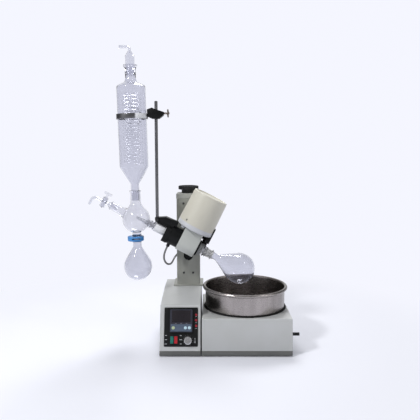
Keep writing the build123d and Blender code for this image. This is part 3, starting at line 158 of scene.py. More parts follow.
def board_finish():
    made = bpy.data.materials.new("pale_board")
    made.use_nodes = True
    tree = made.node_tree
    tree.nodes.clear()
    place = node(tree, "ShaderNodeTexCoord").outputs["Object"]
    reach = node(tree, "ShaderNodeVectorMath", {0: place}, operation="LENGTH").outputs["Value"]
    span = {"Value": reach, "From Min": board_shadow_reach, "From Max": board_shadow_reach + board_fade}
    fade = node(tree, "ShaderNodeMapRange", span, interpolation_type="SMOOTHSTEP").outputs["Result"]
    matt = node(tree, "ShaderNodeBsdfDiffuse", {"Color": board_tone})
    plain = node(tree, "ShaderNodeEmission", {"Color": room_tone, "Strength": 1.0})
    seen = seen_by(tree, "Is Camera Ray", "Is Glossy Ray", "Is Transmission Ray")
    both = mixed(tree, reckoned(tree, "MULTIPLY", fade, seen), matt, plain)
    node(tree, "ShaderNodeOutputMaterial", {0: both.outputs[0]})
    return made


def linked(name, data):
    """A new object in the scene that holds the data."""
    made = bpy.data.objects.new(name, data)
    bpy.context.collection.objects.link(made)
    return made


def board():
    half = board_side / 2
    mesh = bpy.data.meshes.new("board")
    corners = [(-half, -half, 0), (half, -half, 0), (half, half, 0), (-half, half, 0)]
    mesh.from_pydata(corners, [], [(0, 1, 2, 3)])
    mesh.materials.append(board_finish())
    floor = linked("board", mesh)


def soft_lamp(name, place, side, power):
    lamp = bpy.data.lights.new(name, "AREA")
    lamp.shape = "SQUARE"
    lamp.size = side
    lamp.energy = power
    stand = linked(name, lamp)
    stand.location = place
    stand.rotation_euler = (Vector(middle) - Vector(place)).to_track_quat("-Z", "Y").to_euler()
    return stand


middle = (cad_box[0] + cad_box[1]) / 2
bpy.context.scene.world = room_light()
board()
soft_lamp("key_lamp", (-1.15, -1.05, 1.85), 0.26, 23)
soft_lamp("side_lamp", (1.45, -0.85, 1.70), 0.22, 3)
soft_lamp("top_lamp", (0.1, 0.95, 2.0), 0.7, 22).visible_glossy = False
bpy.context.scene.view_settings.view_transform = "Standard"


# Camera: it stands in front of the machine at about two thirds of its height and looks slightly down.
tilt_pivot = Vector(next(joint["pos_m"] for joint in frame["joints"] if joint["name"] == "head_tilt"))
camera_right = 0.0725
camera_back = 1.62
camera_height = 0.607
camera_down = radians(6.4)
camera_lens = 43.8

lens = bpy.data.cameras.new("camera")
lens.lens = camera_lens
camera = linked("camera", lens)
camera.location = (tilt_pivot.x + camera_right, tilt_pivot.y - camera_back, camera_height)
camera.rotation_euler = (pi / 2 - camera_down, 0, 0)
bpy.context.scene.camera = camera


# Signal cable: a limp lead in grey sheath from the gland under the bearing housing to the one on the
# carriage. It is moulded in one length, and hangs in an open loop that gives when the head tilts.
cable_radius = 0.003
cable_route = [
    (-0.0645, -0.1000, 0.3079),
    (-0.0745, -0.1000, 0.2884),
    (-0.0775, -0.0920, 0.2640),
    (-0.0700, -0.0730, 0.2440),
    (-0.0600, -0.0400, 0.2360),
    (-0.0560, -0.0040, 0.2360),
    (-0.0500, 0.0330, 0.2470),
    (-0.0330, 0.0510, 0.2620),
    (-0.0130, 0.0510, 0.2620),
]
route_pivot = Vector((0, -0.1, 0.32))


def shader_group(name, inputs, outputs):
    """An empty shader group with its inputs and number outputs, and the outputs of its first node."""
    group = bpy.data.node_groups.new(name, "ShaderNodeTree")
    for label in inputs:
        kind = "NodeSocketVector" if label == "Vector" else "NodeSocketFloat"
        group.interface.new_socket(label, in_out="INPUT", socket_type=kind)
    for label in outputs:
        group.interface.new_socket(label, in_out="OUTPUT", socket_type="NodeSocketFloat")
    return group, node(group, "NodeGroupInput").outputs


def ranged(tree, value, start=(0.0, 1.0), end=(0.0, 1.0)):
    """A value mapped from one range to another."""
    span = {"From Min": start[0], "From Max": start[1], "To Min": end[0], "To Max": end[1]}
    return node(tree, "ShaderNodeMapRange", {"Value": value, **span}).outputs["Result"]


def noise(tree, place, scale, detail, roughness=0.5):
    """Soft noise over a place."""
    values = {"Vector": place, "Scale": scale, "Detail": detail, "Roughness": roughness}
    return node(tree, "ShaderNodeTexNoise", values).outputs[0]


def surface_group():
    """Grain, soft patches and fine marks over a surface, which every finish on the machine shares."""
    group, start = shader_group(
        "surface_variation", ("Vector", "Grain Scale", "Patch Scale"), ("Grain", "Patches", "Marks")
    )
    place = start["Vector"]
    stretch = {"Vector": place, "Scale": (9.0, 9.0, 140.0), "Rotation": (0.5, 0.35, 0)}
    stretched = node(group, "ShaderNodeMapping", stretch).outputs["Vector"]
    sources = {
        "Grain": noise(group, place, start["Grain Scale"], 2.0, 0.6),
        "Patches": noise(group, place, start["Patch Scale"], 4.0, 0.55),
        "Marks": ranged(group, noise(group, stretched, 6.0, 3.0), (0.62, 0.74)),
    }
    node(group, "NodeGroupOutput", sources)
    return group


surface_variation = surface_group()


def blank(name, **inputs):
    """A new material with plain inputs on its surface. Returns it, its tree and its surface node."""
    made = bpy.data.materials.new(name)
    made.use_nodes = True
    surface = made.node_tree.nodes["Principled BSDF"]
    for label, value in inputs.items():
        surface.inputs[label.replace("_", " ")].default_value = value
    return made, made.node_tree, surface


def coated(tree, surface, share, tones, rough, height, relief):
    """Feed a surface a tone between two by a share, its roughness and the bump of a height."""
    colours = {"Factor": share, "A": (*tones[0], 1), "B": (*tones[1], 1)}
    tone = node(tree, "ShaderNodeMix", colours, data_type="RGBA").outputs["Result"]
    bump = node(tree, "ShaderNodeBump", {"Strength": 1.0, "Distance": relief, "Height": height}).outputs[0]
    for label, source in (("Base Color", tone), ("Roughness", rough), ("Normal", bump)):
        tree.links.new(source, surface.inputs[label])


def finish(
    name, tone, aged, gloss, grain=900.0, patch=9.0, relief=0.00002, metal=0.0, coat=0.0, lines=0.03, gleam=0.5
):
    """A finish that drifts between two tones. Gloss is the lowest and highest roughness, relief the depth
    of its grain in metres, lines how far fine handling marks raise the roughness, gleam how bright it reflects."""
    made, tree, surface = blank(
        name, Metallic=metal, Coat_Weight=coat, Specular_IOR_Level=gleam, Coat_Roughness=0.12
    )
    place = node(tree, "ShaderNodeTexCoord").outputs["Object"]
    scales = {"Vector": place, "Grain Scale": grain, "Patch Scale": patch}
    over = node(tree, "ShaderNodeGroup", scales, node_tree=surface_variation).outputs
    shift = ranged(tree, over["Patches"], (0.35, 0.65))
    rough = reckoned(tree, "MULTIPLY_ADD", over["Marks"], lines, ranged(tree, shift, end=gloss))
    coated(tree, surface, shift, (tone, aged), rough, over["Grain"], relief)
    return made


def put(name, mesh, body, slot, *nodes):
    """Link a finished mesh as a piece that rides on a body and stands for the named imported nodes."""
    piece = linked(name, mesh)
    if nodes:
        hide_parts(*nodes)
    if body:
        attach(piece, body)
    return piece


def plain_mesh(holder):
    """Apply an object's modifiers and return the result as a plain mesh, without the object."""
    bpy.context.view_layer.update()
    mesh = bpy.data.meshes.new_from_object(holder.evaluated_get(bpy.context.evaluated_depsgraph_get()))
    bpy.data.objects.remove(holder)
    return mesh


def shape_tree(name, **inputs):
    """An empty geometry tree with the named inputs, and the outputs of its first node."""
    tree = bpy.data.node_groups.new(name, "GeometryNodeTree")
    tree.interface.new_socket("Geometry", in_out="INPUT", socket_type="NodeSocketGeometry")
    for label, kind in inputs.items():
        tree.interface.new_socket(label.replace("_", " "), in_out="INPUT", socket_type="NodeSocket" + kind)
    tree.interface.new_socket("Geometry", in_out="OUTPUT", socket_type="NodeSocketGeometry")
    return tree, node(tree, "NodeGroupInput").outputs


def grown(tree, mesh, **values):
    """The plain mesh that a geometry tree makes from a mesh with the given inputs."""
    holder = linked(tree.name, mesh)
    growth = holder.modifiers.new("growth", "NODES")
    growth.node_group = tree
    for item in tree.interface.items_tree:
        label = item.name.replace(" ", "_")
        if item.in_out == "INPUT" and label in values:
            growth[item.identifier] = values[label]
    return plain_mesh(holder)


def dressed(tree, geometry, material):
    """End a tree: what it has grown becomes real geometry and gets its material."""
    real = node(tree, "GeometryNodeRealizeInstances", {"Geometry": geometry}).outputs["Geometry"]
    dress = node(tree, "GeometryNodeSetMaterial", {"Geometry": real, "Material": material})
    node(tree, "NodeGroupOutput", {"Geometry": dress.outputs["Geometry"]})
    return tree


def bar_tree():
    """A round bar along a path of edges, closed at its ends."""
    tree, start = shape_tree("bar_along_path", Bar_Radius="Float", Sides="Int", Material="Material")
    line = node(tree, "GeometryNodeMeshToCurve", {"Mesh": start["Geometry"]}).outputs["Curve"]
    size = {"Resolution": start["Sides"], "Radius": start["Bar Radius"]}
    ring = node(tree, "GeometryNodeCurvePrimitiveCircle", size, mode="RADIUS").outputs["Curve"]
    bar = node(tree, "GeometryNodeCurveToMesh", {"Curve": line, "Profile Curve": ring, "Fill Caps": True})
    return dressed(tree, bar.outputs["Mesh"], start["Material"])


bar_along_path = bar_tree()
form_crease = 38


def solid_mesh(name, work, materials, place=Matrix(), crease=form_crease):
    """A smooth mesh from worked faces that are turned outward, sharp over the crease in degrees."""
    bmesh.ops.recalc_face_normals(work, faces=work.faces)
    mesh = bpy.data.meshes.new(name)
    work.to_mesh(mesh)
    work.free()
    mesh.transform(place)
    for material in materials:
        mesh.materials.append(material)
    mesh.shade_smooth()
    mesh.set_sharp_from_angle(angle=radians(crease))
    return mesh


def round_bar(name, points, radius, material, sides=24, place=Matrix()):
    """A round bar along a path of points, closed at both ends."""
    path = bpy.data.meshes.new(name + "_path")
    path.from_pydata([tuple(point) for point in points], [(i, i + 1) for i in range(len(points) - 1)], [])
    work = bmesh.new()
    work.from_mesh(grown(bar_along_path, path, Bar_Radius=radius, Sides=sides, Material=material))
    bmesh.ops.remove_doubles(work, verts=work.verts, dist=0.000001)
    return solid_mesh(name, work, [material], place, crease=40)


def centre_line(points):
    """The points of the smooth line itself, read from its spline with no bar round it."""
    curve = bpy.data.curves.new("route", "CURVE")
    curve.dimensions = "3D"
    curve.resolution_u = 16
    line = curve.splines.new("NURBS")
    line.points.add(len(points) - 1)
    for spot, point in zip(line.points, points):
        spot.co = (*point, 1)
    line.order_u = 3
    line.use_endpoint_u = True
    return [tuple(vertex.co) for vertex in plain_mesh(linked("route", curve)).vertices]


def signal_cable():
    sheath = finish("cable_sheath", (0.16, 0.16, 0.165), (0.20, 0.20, 0.205), (0.42, 0.55), relief=0.00001)
    route = [Vector(point) - route_pivot + tilt_pivot for point in cable_route]
    path = centre_line(route)
    mesh = round_bar("signal_lead", path, cable_radius, sheath)
    lead = put("signal_lead", mesh, None, "cable_grey", "signal_cable")
    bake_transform(lead)


signal_cable()


# Base tray: one folded steel tray under both housings, in dark enamel. The housings stand in its rim,
# and a bridge plate joins its two halves underneath.
def joined_facets(node_name):
    """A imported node's mesh with its facets joined into whole faces."""
    mesh = frame["nodes"][node_name].data.copy()
    work = bmesh.new()
    work.from_mesh(mesh)
    bmesh.ops.remove_doubles(work, verts=work.verts, dist=0.00001)
    bmesh.ops.dissolve_limit(work, angle_limit=radians(0.6), verts=work.verts, edges=work.edges)
    bmesh.ops.dissolve_degenerate(work, dist=0.00001, edges=work.edges)
    work.to_mesh(mesh)
    work.free()
    return mesh


def refined(node_name, material, slot, edge=0.0, crease=32):
    """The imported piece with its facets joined, its round faces smooth and its edges broken by a small bevel."""
    mesh = joined_facets(node_name)
    mesh.materials.clear()
    mesh.materials.append(material)
    if edge:
        holder = linked(node_name, mesh)
        bevel = holder.modifiers.new("edge", "BEVEL")
        bevel.width = edge
        bevel.segments = 2
        bevel.limit_method = "ANGLE"
        bevel.angle_limit = radians(crease)
        bevel.use_clamp_overlap = True
        mesh = plain_mesh(holder)
    mesh.shade_smooth()
    mesh.set_sharp_from_angle(angle=radians(crease))
    body = frame["nodes"][node_name]["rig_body"]
    return put(node_name + "_form", mesh, body, slot, node_name)


dark_enamel = finish("plinth_enamel", (0.105, 0.108, 0.105), (0.135, 0.138, 0.13), (0.38, 0.5), relief=0.00003)
refined("base_tray", dark_enamel, "plinth_enamel", edge=0.0006)


# Feet: eight black rubber pads pushed into the tray's floor. They are moulded, with a matt skin.
black_rubber = finish(
    "black_rubber", (0.006, 0.006, 0.006), (0.010, 0.010, 0.010), (0.62, 0.8), relief=0.00004, gleam=0.2
)
refined("rubber_feet", black_rubber, "rubber_black", edge=0.0005)


# Housings: two covers folded from steel sheet and painted in light grey textured enamel. One carries the
# controls and the column, the other the bath, and both are screwed to the tray from below.
pale_enamel = finish(
    "pale_enamel", (0.535, 0.545, 0.55), (0.50, 0.51, 0.505), (0.34, 0.46), grain=1400.0, relief=0.00003
)
refined("control_housing", pale_enamel, "grey_enamel", edge=0.0005)
refined("bath_housing", pale_enamel, "grey_enamel", edge=0.0005)


# Fascia: a black plate on the leaning front, with the frames of the two rockers and the lamp holes. It is
# moulded with a fine matt grain and glued to the housing.
matt_black = finish("matt_black", (0.006, 0.0065, 0.007), (0.009, 0.0095, 0.010), (0.38, 0.5), gleam=0.22)
refined("fascia_panel", matt_black, "black_plastic", edge=0.0003)

panel_lean = 0.046
panel_rise = 0.128
housing_low, housing_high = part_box("control_housing")
panel_slope = hypot(panel_lean, panel_rise)
panel_right = Vector((1, 0, 0))
panel_up = Vector((0, panel_lean, panel_rise)) / panel_slope
panel_out = Vector((0, -panel_rise, panel_lean)) / panel_slope
panel_origin = Vector(((housing_low.x + housing_high.x) / 2, housing_low.y, housing_low.z))
panel_place = Matrix.Translation(panel_origin) @ Matrix((panel_right, panel_up, panel_out)).transposed().to_4x4()


# Controller: a square panel instrument in a slate bezel with a smoked window, a key strip and three
# round keys. Its case is moulded, and it is clipped into the fascia from the front.
slate = finish("slate_bezel", (0.030, 0.031, 0.045), (0.038, 0.039, 0.055), (0.32, 0.42), gleam=0.3)
key_strip = finish("key_strip", (0.085, 0.115, 0.165), (0.10, 0.13, 0.185), (0.35, 0.45), gleam=0.3)
smoked = finish("smoked_window", (0.012, 0.009, 0.013), (0.016, 0.012, 0.016), (0.05, 0.12), relief=0.000002)
strip_shift = 0.003
strip_height = 0.0675
strip_half_width = 0.0316
strip_half_height = 0.0106


def painted(piece, material, place, rule):
    """Give the faces whose middle, measured on a place, fits the rule another material."""
    mesh = piece.data
    mesh.materials.append(material)
    measure = place.inverted()
    for face in mesh.polygons:
        if rule(measure @ face.center, measure.to_3x3() @ face.normal):
            face.material_index = len(mesh.materials) - 1


def on_strip(spot, way):
    """Inside the key strip of the controller, on a face that looks out of the panel."""
    inside = abs(spot.x - strip_shift) < strip_half_width and abs(spot.y - strip_height) < strip_half_height
    return inside and way.z > 0.5


controller = refined("temperature_controller", slate, "slate_plastic", edge=0.0003)
painted(controller, key_strip, panel_place, on_strip)
refined("display_window", smoked, "display_glass", edge=0.0002)


# Rockers, lamps and keys: gloss mouldings that stand in the fascia. The lamps are red lenses and the
# rockers a green and a red paddle, each on a pin across its frame.
green_rocker = finish("green_rocker", (0.012, 0.15, 0.12), (0.02, 0.19, 0.15), (0.16, 0.28), coat=0.3)
red_rocker = finish("red_rocker", (0.42, 0.012, 0.02), (0.5, 0.02, 0.03), (0.16, 0.28), coat=0.3)
lamp_lens = finish("lamp_lens", (0.26, 0.008, 0.02), (0.34, 0.015, 0.03), (0.08, 0.16), coat=0.5)
pale_key = finish("pale_key", (0.48, 0.67, 0.76), (0.55, 0.72, 0.8), (0.3, 0.4))
green_key = finish("green_key", (0.47, 0.56, 0.32), (0.53, 0.6, 0.38), (0.3, 0.4))
refined("power_rocker", green_rocker, "rocker_green", edge=0.0004)
refined("heat_rocker", red_rocker, "rocker_red", edge=0.0004)
refined("indicator_lamps", lamp_lens, "lamp_red")
refined("set_key", green_key, "key_green", edge=0.0002)
refined("down_key", pale_key, "key_pale", edge=0.0002)
refined("up_key", pale_key, "key_pale", edge=0.0002)


# Speed knob: a turned aluminium knob with a fluted grip and a cut pointer line, pushed on the shaft of
# the speed control.
turned_alloy = finish("turned_alloy", (0.62, 0.62, 0.64), (0.54, 0.54, 0.56), (0.2, 0.34), metal=1.0)
refined("speed_knob", turned_alloy, "knob_silver", edge=0.0004)


# Mains inlet: a black three pin socket for a power cord, moulded with its frame. It is screwed in the
# housing's back wall from outside.
refined("mains_inlet", matt_black, "black_plastic", edge=0.0003)


# Bath pot: a deep pot spun and drawn from stainless sheet, brushed round its wall, with a rolled rim. It
# hangs in the housing's round opening and stands on the plate heater. Painted reflections darken its sides
# and lay light streaks up its wall.
def eased(corners, steps=5):
    """An outline whose corners are rounded by the radius given as a corner's third value."""
    points = []
    count = len(corners)
    for index, corner in enumerate(corners):
        here = Vector(corner[:2])
        radius = corner[2] if len(corner) > 2 else 0
        if not radius:
            points.append(here)
            continue
        before = Vector(corners[index - 1][:2]) - here
        after = Vector(corners[(index + 1) % count][:2]) - here
        half = max(before.angle(after) / 2, 0.02)
        reach = min(radius / tan(half), before.length * 0.48, after.length * 0.48)
        start = here + before.normalized() * reach
        stop = here + after.normalized() * reach
        for step in range(steps + 1):
            share = step / steps
            points.append(start * (1 - share) ** 2 + here * 2 * share * (1 - share) + stop * share**2)
    return points


def turned(name, corners, place, material, steps=96, bands=()):
    """Turn a closed outline of (radius, height) corners about the place's own Z axis. A band is a lowest
    height, a highest height and the material of the faces between them."""
    outline = eased(corners)
    work = bmesh.new()
    rings = []
    for point in outline:
        turns = [2 * pi * step / steps for step in range(steps)] if point.x > 1e-7 else [0]
        spots = [Vector((point.x * cos(turn), point.x * sin(turn), point.y)) for turn in turns]
        rings.append([work.verts.new(place @ spot) for spot in spots])
    for index, ring in enumerate(rings):
        after = rings[(index + 1) % len(rings)]
        if len(ring) == 1 and len(after) == 1:
            continue
        level = (outline[index].y + outline[(index + 1) % len(rings)].y) / 2
        number = max((order + 1 for order, (low, high, _) in enumerate(bands) if low <= level <= high), default=0)
        for step in range(steps):
            following = (step + 1) % steps
            if len(ring) == 1:
                corners_of_face = (ring[0], after[step], after[following])
            elif len(after) == 1:
                corners_of_face = (ring[step], after[0], ring[following])
            else:
                corners_of_face = (ring[step], after[step], after[following], ring[following])
            work.faces.new(corners_of_face).material_index = number
    bmesh.ops.remove_doubles(work, verts=work.verts, dist=1e-7)
    return solid_mesh(name, work, [material, *(band[2] for band in bands)])


def brushed_group():
    """Fine brushing that runs round an axis through the origin of the incoming vector."""
    group, start = shader_group("brushed_round", ("Vector", "Line Scale"), ("Lines",))
    parts = node(group, "ShaderNodeSeparateXYZ", {0: start["Vector"]}).outputs
    flat = {0: start["Vector"], 1: (1.0, 1.0, 0.0)}
    wide = node(group, "ShaderNodeVectorMath", flat, operation="MULTIPLY").outputs["Vector"]
    radius = node(group, "ShaderNodeVectorMath", {0: wide}, operation="LENGTH").outputs["Value"]
    turn = reckoned(group, "MULTIPLY", reckoned(group, "ARCTAN2", parts["Y"], parts["X"]), 0.012)
    unrolled = node(group, "ShaderNodeCombineXYZ", {"X": turn, "Y": radius, "Z": parts["Z"]}).outputs[0]
    node(group, "NodeGroupOutput", {"Lines": noise(group, unrolled, start["Line Scale"], 3.0, 0.7)})
    return group


brushed_round = brushed_group()


def brushed_steel_painted_reflections(name, centre, tone, aged, gloss, scale=900.0, relief=0.00002):
    """Steel brushed round an upright axis through the centre. Its tone is painted reflection: darker at both
    sides and lighter at the back and front, with broad painted light streaks up its wall, over soft patches."""
    made, tree, surface = blank(name, Metallic=1.0)
    place = node(tree, "ShaderNodeTexCoord").outputs["Object"]
    shift = {"Vector": place, "Location": (-centre[0], -centre[1], -centre[2])}
    centred = node(tree, "ShaderNodeMapping", shift).outputs["Vector"]
    brushing = {"Vector": centred, "Line Scale": scale}
    lines = node(tree, "ShaderNodeGroup", brushing, node_tree=brushed_round).outputs["Lines"]
    wear = {"Vector": place, "Grain Scale": 300.0, "Patch Scale": 14.0}
    patches = node(tree, "ShaderNodeGroup", wear, node_tree=surface_variation).outputs["Patches"]
    parts = node(tree, "ShaderNodeSeparateXYZ", {0: centred}).outputs
    flat = node(tree, "ShaderNodeCombineXYZ", {"X": parts["X"], "Y": parts["Y"]}).outputs[0]
    way = node(tree, "ShaderNodeVectorMath", {0: flat}, operation="NORMALIZE").outputs[0]
    turn = reckoned(tree, "ARCTAN2", parts["Y"], parts["X"])
    # Painted reflection: the tone is painted darker at both sides and lighter at the front and back, and streaked
    # by noise over the direction round the axis.
    painted_side_shade = reckoned(tree, "COSINE", reckoned(tree, "MULTIPLY", turn, 2.0))
    painted_reflection_streaks = reckoned(tree, "MULTIPLY_ADD", painted_side_shade, -0.22, noise(tree, way, 2.6, 3.0, 0.55))
    drift = reckoned(tree, "MULTIPLY_ADD", patches, 0.12, painted_reflection_streaks)
    rough = ranged(tree, lines, (0.3, 0.7), gloss)
    coated(tree, surface, ranged(tree, drift, (0.30, 0.82)), (aged, tone), rough, lines, relief)
    return made


pot_low, pot_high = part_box("bath_pot")
pot_centre = Vector(((pot_low.x + pot_high.x) / 2, (pot_low.y + pot_high.y) / 2, 0))
pot_radius = 0.1275
pot_wall = 0.0015
pot_corner = 0.014
bead_radius = 0.0052
rim_level = pot_high.z - bead_radius


def bath_pot():
    # The second tone is the darker one that the painted side shade reaches, and the one the soft patches drift
    # toward.
    steel = brushed_steel_painted_reflections("brushed_pot", pot_centre, (0.42, 0.385, 0.375), (0.21, 0.196, 0.188), (0.2, 0.36))
    inside = pot_radius - pot_wall
    bead_place = inside + bead_radius
    bead = []
    for step in range(1, 16):
        turn = pi - 2 * pi * step / 18
        bead.append((bead_place + bead_radius * cos(turn), rim_level + bead_radius * sin(turn)))
    outline = [
        (0, pot_low.z),
        (pot_radius, pot_low.z, pot_corner),
        (pot_radius, rim_level - bead_radius * 0.8),
        *reversed(bead),
        (inside, rim_level),
        (inside, pot_low.z + pot_wall, pot_corner - pot_wall),
        (0, pot_low.z + pot_wall),
    ]
    mesh = turned("bath_bowl", outline, Matrix.Translation(pot_centre), steel, steps=160)
    put("bath_bowl", mesh, "base", "stainless", "bath_pot")


bath_pot()


# Gasket: a black rubber ring between the pot's wall and the housing, with a sloping lip. It is extruded
# and joined into a ring.
refined("bath_gasket", black_rubber, "rubber_black", edge=0.0004)


# Heater and drain: a cast plate heater on its stand under the pot, and a black tube from the pot's floor
# that is bent out through the housing's right side and ends in a spigot for a hose.
cast_grey = finish("cast_grey", (0.36, 0.36, 0.36), (0.3, 0.3, 0.3), (0.45, 0.6), metal=1.0, relief=0.00006)
refined("bath_heater", cast_grey, "cast_metal")
refined("drain_nipple", matt_black, "black_plastic", edge=0.0002)


# Column: a square steel tube welded on a flange, in grey-green enamel, with a slot at the front for the
# carriage's arm. Its cap is pressed in at the top and carries the lift screw.
column_enamel = finish("column_enamel", (0.33, 0.335, 0.305), (0.285, 0.29, 0.262), (0.3, 0.42), relief=0.00003)
cap_enamel = finish("cap_enamel", (0.40, 0.405, 0.38), (0.36, 0.365, 0.34), (0.3, 0.42), relief=0.00003)
refined("column", column_enamel, "column_enamel", edge=0.0005)
refined("column_cap", cap_enamel, "column_enamel", edge=0.0008)


# Fasteners: pan head screws with a round socket, turned from blackened steel. They hold the guide rods'
# brackets and stand two by two on the column's front.
def grid_tree():
    """Copies of the incoming part at the points of a flat grid, stretched along X by a seeded share."""
    kinds = {"Width": "Float", "Height": "Float", "Columns": "Int", "Rows": "Int", "Spread": "Float"}
    tree, start = shape_tree("grid_of_parts", **kinds, Material="Material")
    sizes = zip(("Size X", "Size Y", "Vertices X", "Vertices Y"), ("Width", "Height", "Columns", "Rows"))
    grid = node(tree, "GeometryNodeMeshGrid", {size: start[label] for size, label in sizes}).outputs["Mesh"]
    low = reckoned(tree, "SUBTRACT", 1.0, start["Spread"])
    share = node(tree, "FunctionNodeRandomValue", {2: low, 3: 1.0, "Seed": 7}, data_type="FLOAT").outputs[1]
    stretch = node(tree, "ShaderNodeCombineXYZ", {"X": share, "Y": 1.0, "Z": 1.0}).outputs[0]
    parts = {"Points": grid, "Instance": start["Geometry"], "Scale": stretch}
    copies = node(tree, "GeometryNodeInstanceOnPoints", parts).outputs["Instances"]
    return dressed(tree, copies, start["Material"])


grid_of_parts = grid_tree()


def placed(name, mesh, place):
    """Name a grown mesh and move it to its place."""
    mesh.name = name
    mesh.transform(place)
    mesh.set_sharp_from_angle(angle=radians(form_crease))
    return mesh


def set_out(name, part, place, material, width, height, columns, rows, spread=0.0):
    """The part repeated over a grid on a place, as one plain mesh."""
    sizes = {"Width": width, "Height": height, "Columns": columns, "Rows": rows, "Spread": spread}
    return placed(name, grown(grid_of_parts, part, **sizes, Material=material), place)


dark_screw = finish("dark_screw", (0.05, 0.05, 0.052), (0.09, 0.09, 0.092), (0.25, 0.4), metal=1.0)
screw_head = 0.0036
screw_head_rise = 0.0018


def column_screws():
    low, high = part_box("column_screws")
    outline = [
        (0, -0.0004),
        (screw_head, -0.0004),
        (screw_head, screw_head_rise, 0.0009),
        (screw_head * 0.5, screw_head_rise),
        (screw_head * 0.5, screw_head_rise * 0.35),
        (0, screw_head_rise * 0.35),
    ]
    head = turned("screw_head", outline, Matrix(), dark_screw, steps=24)
    centre = Vector(((low.x + high.x) / 2, low.y + screw_head_rise, (low.z + high.z) / 2))
    place = Matrix.Translation(centre) @ Matrix.Rotation(pi / 2, 4, "X")
    width = high.x - low.x - 2 * screw_head
    height = high.z - low.z - 2 * screw_head
    mesh = set_out("column_screw_heads", head, place, dark_screw, width, height, 2, 2)
    put("column_screw_heads", mesh, "base", "steel", "column_screws")


column_screws()


# Printed marks: short pale bars beside the rockers, the knob and the lamps, and a scale of strokes round
# the knob. They are screen printed on the fascia, and three grey ones on the controller's window.
def ring_tree():
    """Copies of the incoming part turned about the Z axis in even steps."""
    tree, start = shape_tree("ring_of_parts", Count="Int", First="Float", Step="Float", Material="Material")
    line = node(tree, "GeometryNodeMeshLine", {"Count": start["Count"], "Offset": (0, 0, 0)}).outputs["Mesh"]
    number = node(tree, "GeometryNodeInputIndex").outputs[0]
    turn = reckoned(tree, "MULTIPLY_ADD", number, start["Step"], start["First"])
    about = node(tree, "ShaderNodeCombineXYZ", {"Z": turn}).outputs[0]
    spin = node(tree, "FunctionNodeEulerToRotation", {0: about}).outputs[0]
    parts = {"Points": line, "Instance": start["Geometry"], "Rotation": spin}
    copies = node(tree, "GeometryNodeInstanceOnPoints", parts).outputs["Instances"]
    return dressed(tree, copies, start["Material"])


ring_of_parts = ring_tree()


def ringed(name, part, place, material, count, first=0.0, step=None):
    """The part repeated round the place's Z axis, as one plain mesh."""
    step = 2 * pi / count if step is None else step
    return placed(name, grown(ring_of_parts, part, Count=count, First=first, Step=step, Material=material), place)


def plate(name, corners, low, high, place, material):
    """A flat plate of the outline, from the low to the high level on a place."""
    outline = eased(corners)
    work = bmesh.new()
    floors = []
    for level in (low, high):
        floors.append([work.verts.new(place @ Vector((spot.x, spot.y, level))) for spot in outline])
    work.faces.new(reversed(floors[0]))
    work.faces.new(floors[1])
    for index in range(len(outline)):
        after = (index + 1) % len(outline)
        work.faces.new((floors[0][index], floors[0][after], floors[1][after], floors[1][index]))
    return solid_mesh(name, work, [material])


def oblong(width, height, ease=0.0, shift=(0, 0)):
    """The four corners of a rectangle about a point, each rounded by the ease."""
    x = width / 2
    y = height / 2
    return [(shift[0] + a * x, shift[1] + b * y, ease) for a, b in ((-1, -1), (1, -1), (1, 1), (-1, 1))]


def on_panel(node_name):
    """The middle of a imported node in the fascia's own right, up and out directions."""
    low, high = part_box(node_name)
    return panel_place.inverted() @ ((low + high) / 2)


print_level = 0.0015
print_thick = 0.00008


def printed_marks():
    ink = finish("pale_ink", (0.46, 0.48, 0.50), (0.52, 0.54, 0.56), (0.5, 0.6), relief=0.000004)
    grey_ink = finish("grey_ink", (0.20, 0.20, 0.23), (0.24, 0.24, 0.27), (0.5, 0.6), relief=0.000004)
    front = (print_level, print_level + print_thick)
    proud = max((panel_place.inverted() @ vertex.co).z for vertex in controller.data.vertices)
    window = (proud - 0.0008, proud - 0.0007)
    knob = on_panel("speed_knob")
    stroke = plate("stroke", oblong(0.0016, 0.0004, shift=(0.0150, 0)), *front, Matrix(), ink)
    place = panel_place @ Matrix.Translation((knob.x, knob.y, 0))
    scale = ringed("knob_scale", stroke, place, ink, 11, first=radians(-60), step=radians(30))
    put("knob_scale", scale, "base", "white_resin")
    switches = [on_panel(name) for name in ("power_rocker", "heat_rocker")]
    left = switches[0].x - 0.018
    right = switches[1].x + 0.0146
    lamps = on_panel("indicator_lamps")
    low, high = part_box("indicator_lamps")
    reach = (high.z - low.z) * panel_slope / panel_rise - 0.008
    by_switch = ((left + right) / 2, switches[0].y)
    over_strip = (strip_shift, strip_height + 0.0130)
    for name, tone, level, size, spot, *grid in (
        ("switch_legends", ink, front, (0.0078, 0.0016), by_switch, right - left, 0.0246, 2, 3, 0.35),
        ("knob_legends", ink, front, (0.0050, 0.0012), (knob.x + 0.0212, knob.y), 0.0, 0.0120, 1, 4, 0.4),
        ("window_marks", grey_ink, window, (0.0058, 0.0010), over_strip, 0.032, 0.0, 3, 1, 0.2),
        ("lamp_legends", ink, front, (0.0062, 0.0007), (lamps.x, lamps.y - 0.0062), 0.0, reach, 1, 3, 0.3),
    ):
        bar = plate("bar", oblong(*size), *level, Matrix(), tone)
        place = panel_place @ Matrix.Translation((*spot, 0))
        put(name, set_out(name, bar, place, tone, *grid), "base", "white_resin")


printed_marks()


# Guide rods and lift screw: two ground rods and a threaded screw inside the column. The screw is carried
# by the column's floor and its cap.
bright_steel = finish("bright_steel", (0.52, 0.52, 0.53), (0.45, 0.45, 0.46), (0.16, 0.3), metal=1.0)
refined("guide_rods", bright_steel, "rod_steel")
refined("lead_screw", bright_steel, "steel")


# Hand wheel: a black moulded wheel with a dished top and a ring of finger ribs, pressed on the end of the
# lift screw.
wheel_stem = 0.023
wheel_stem_high = 0.011
wheel_radius = 0.0318
wheel_high = 0.024
rib_radius = 0.0024
rib_count = 24


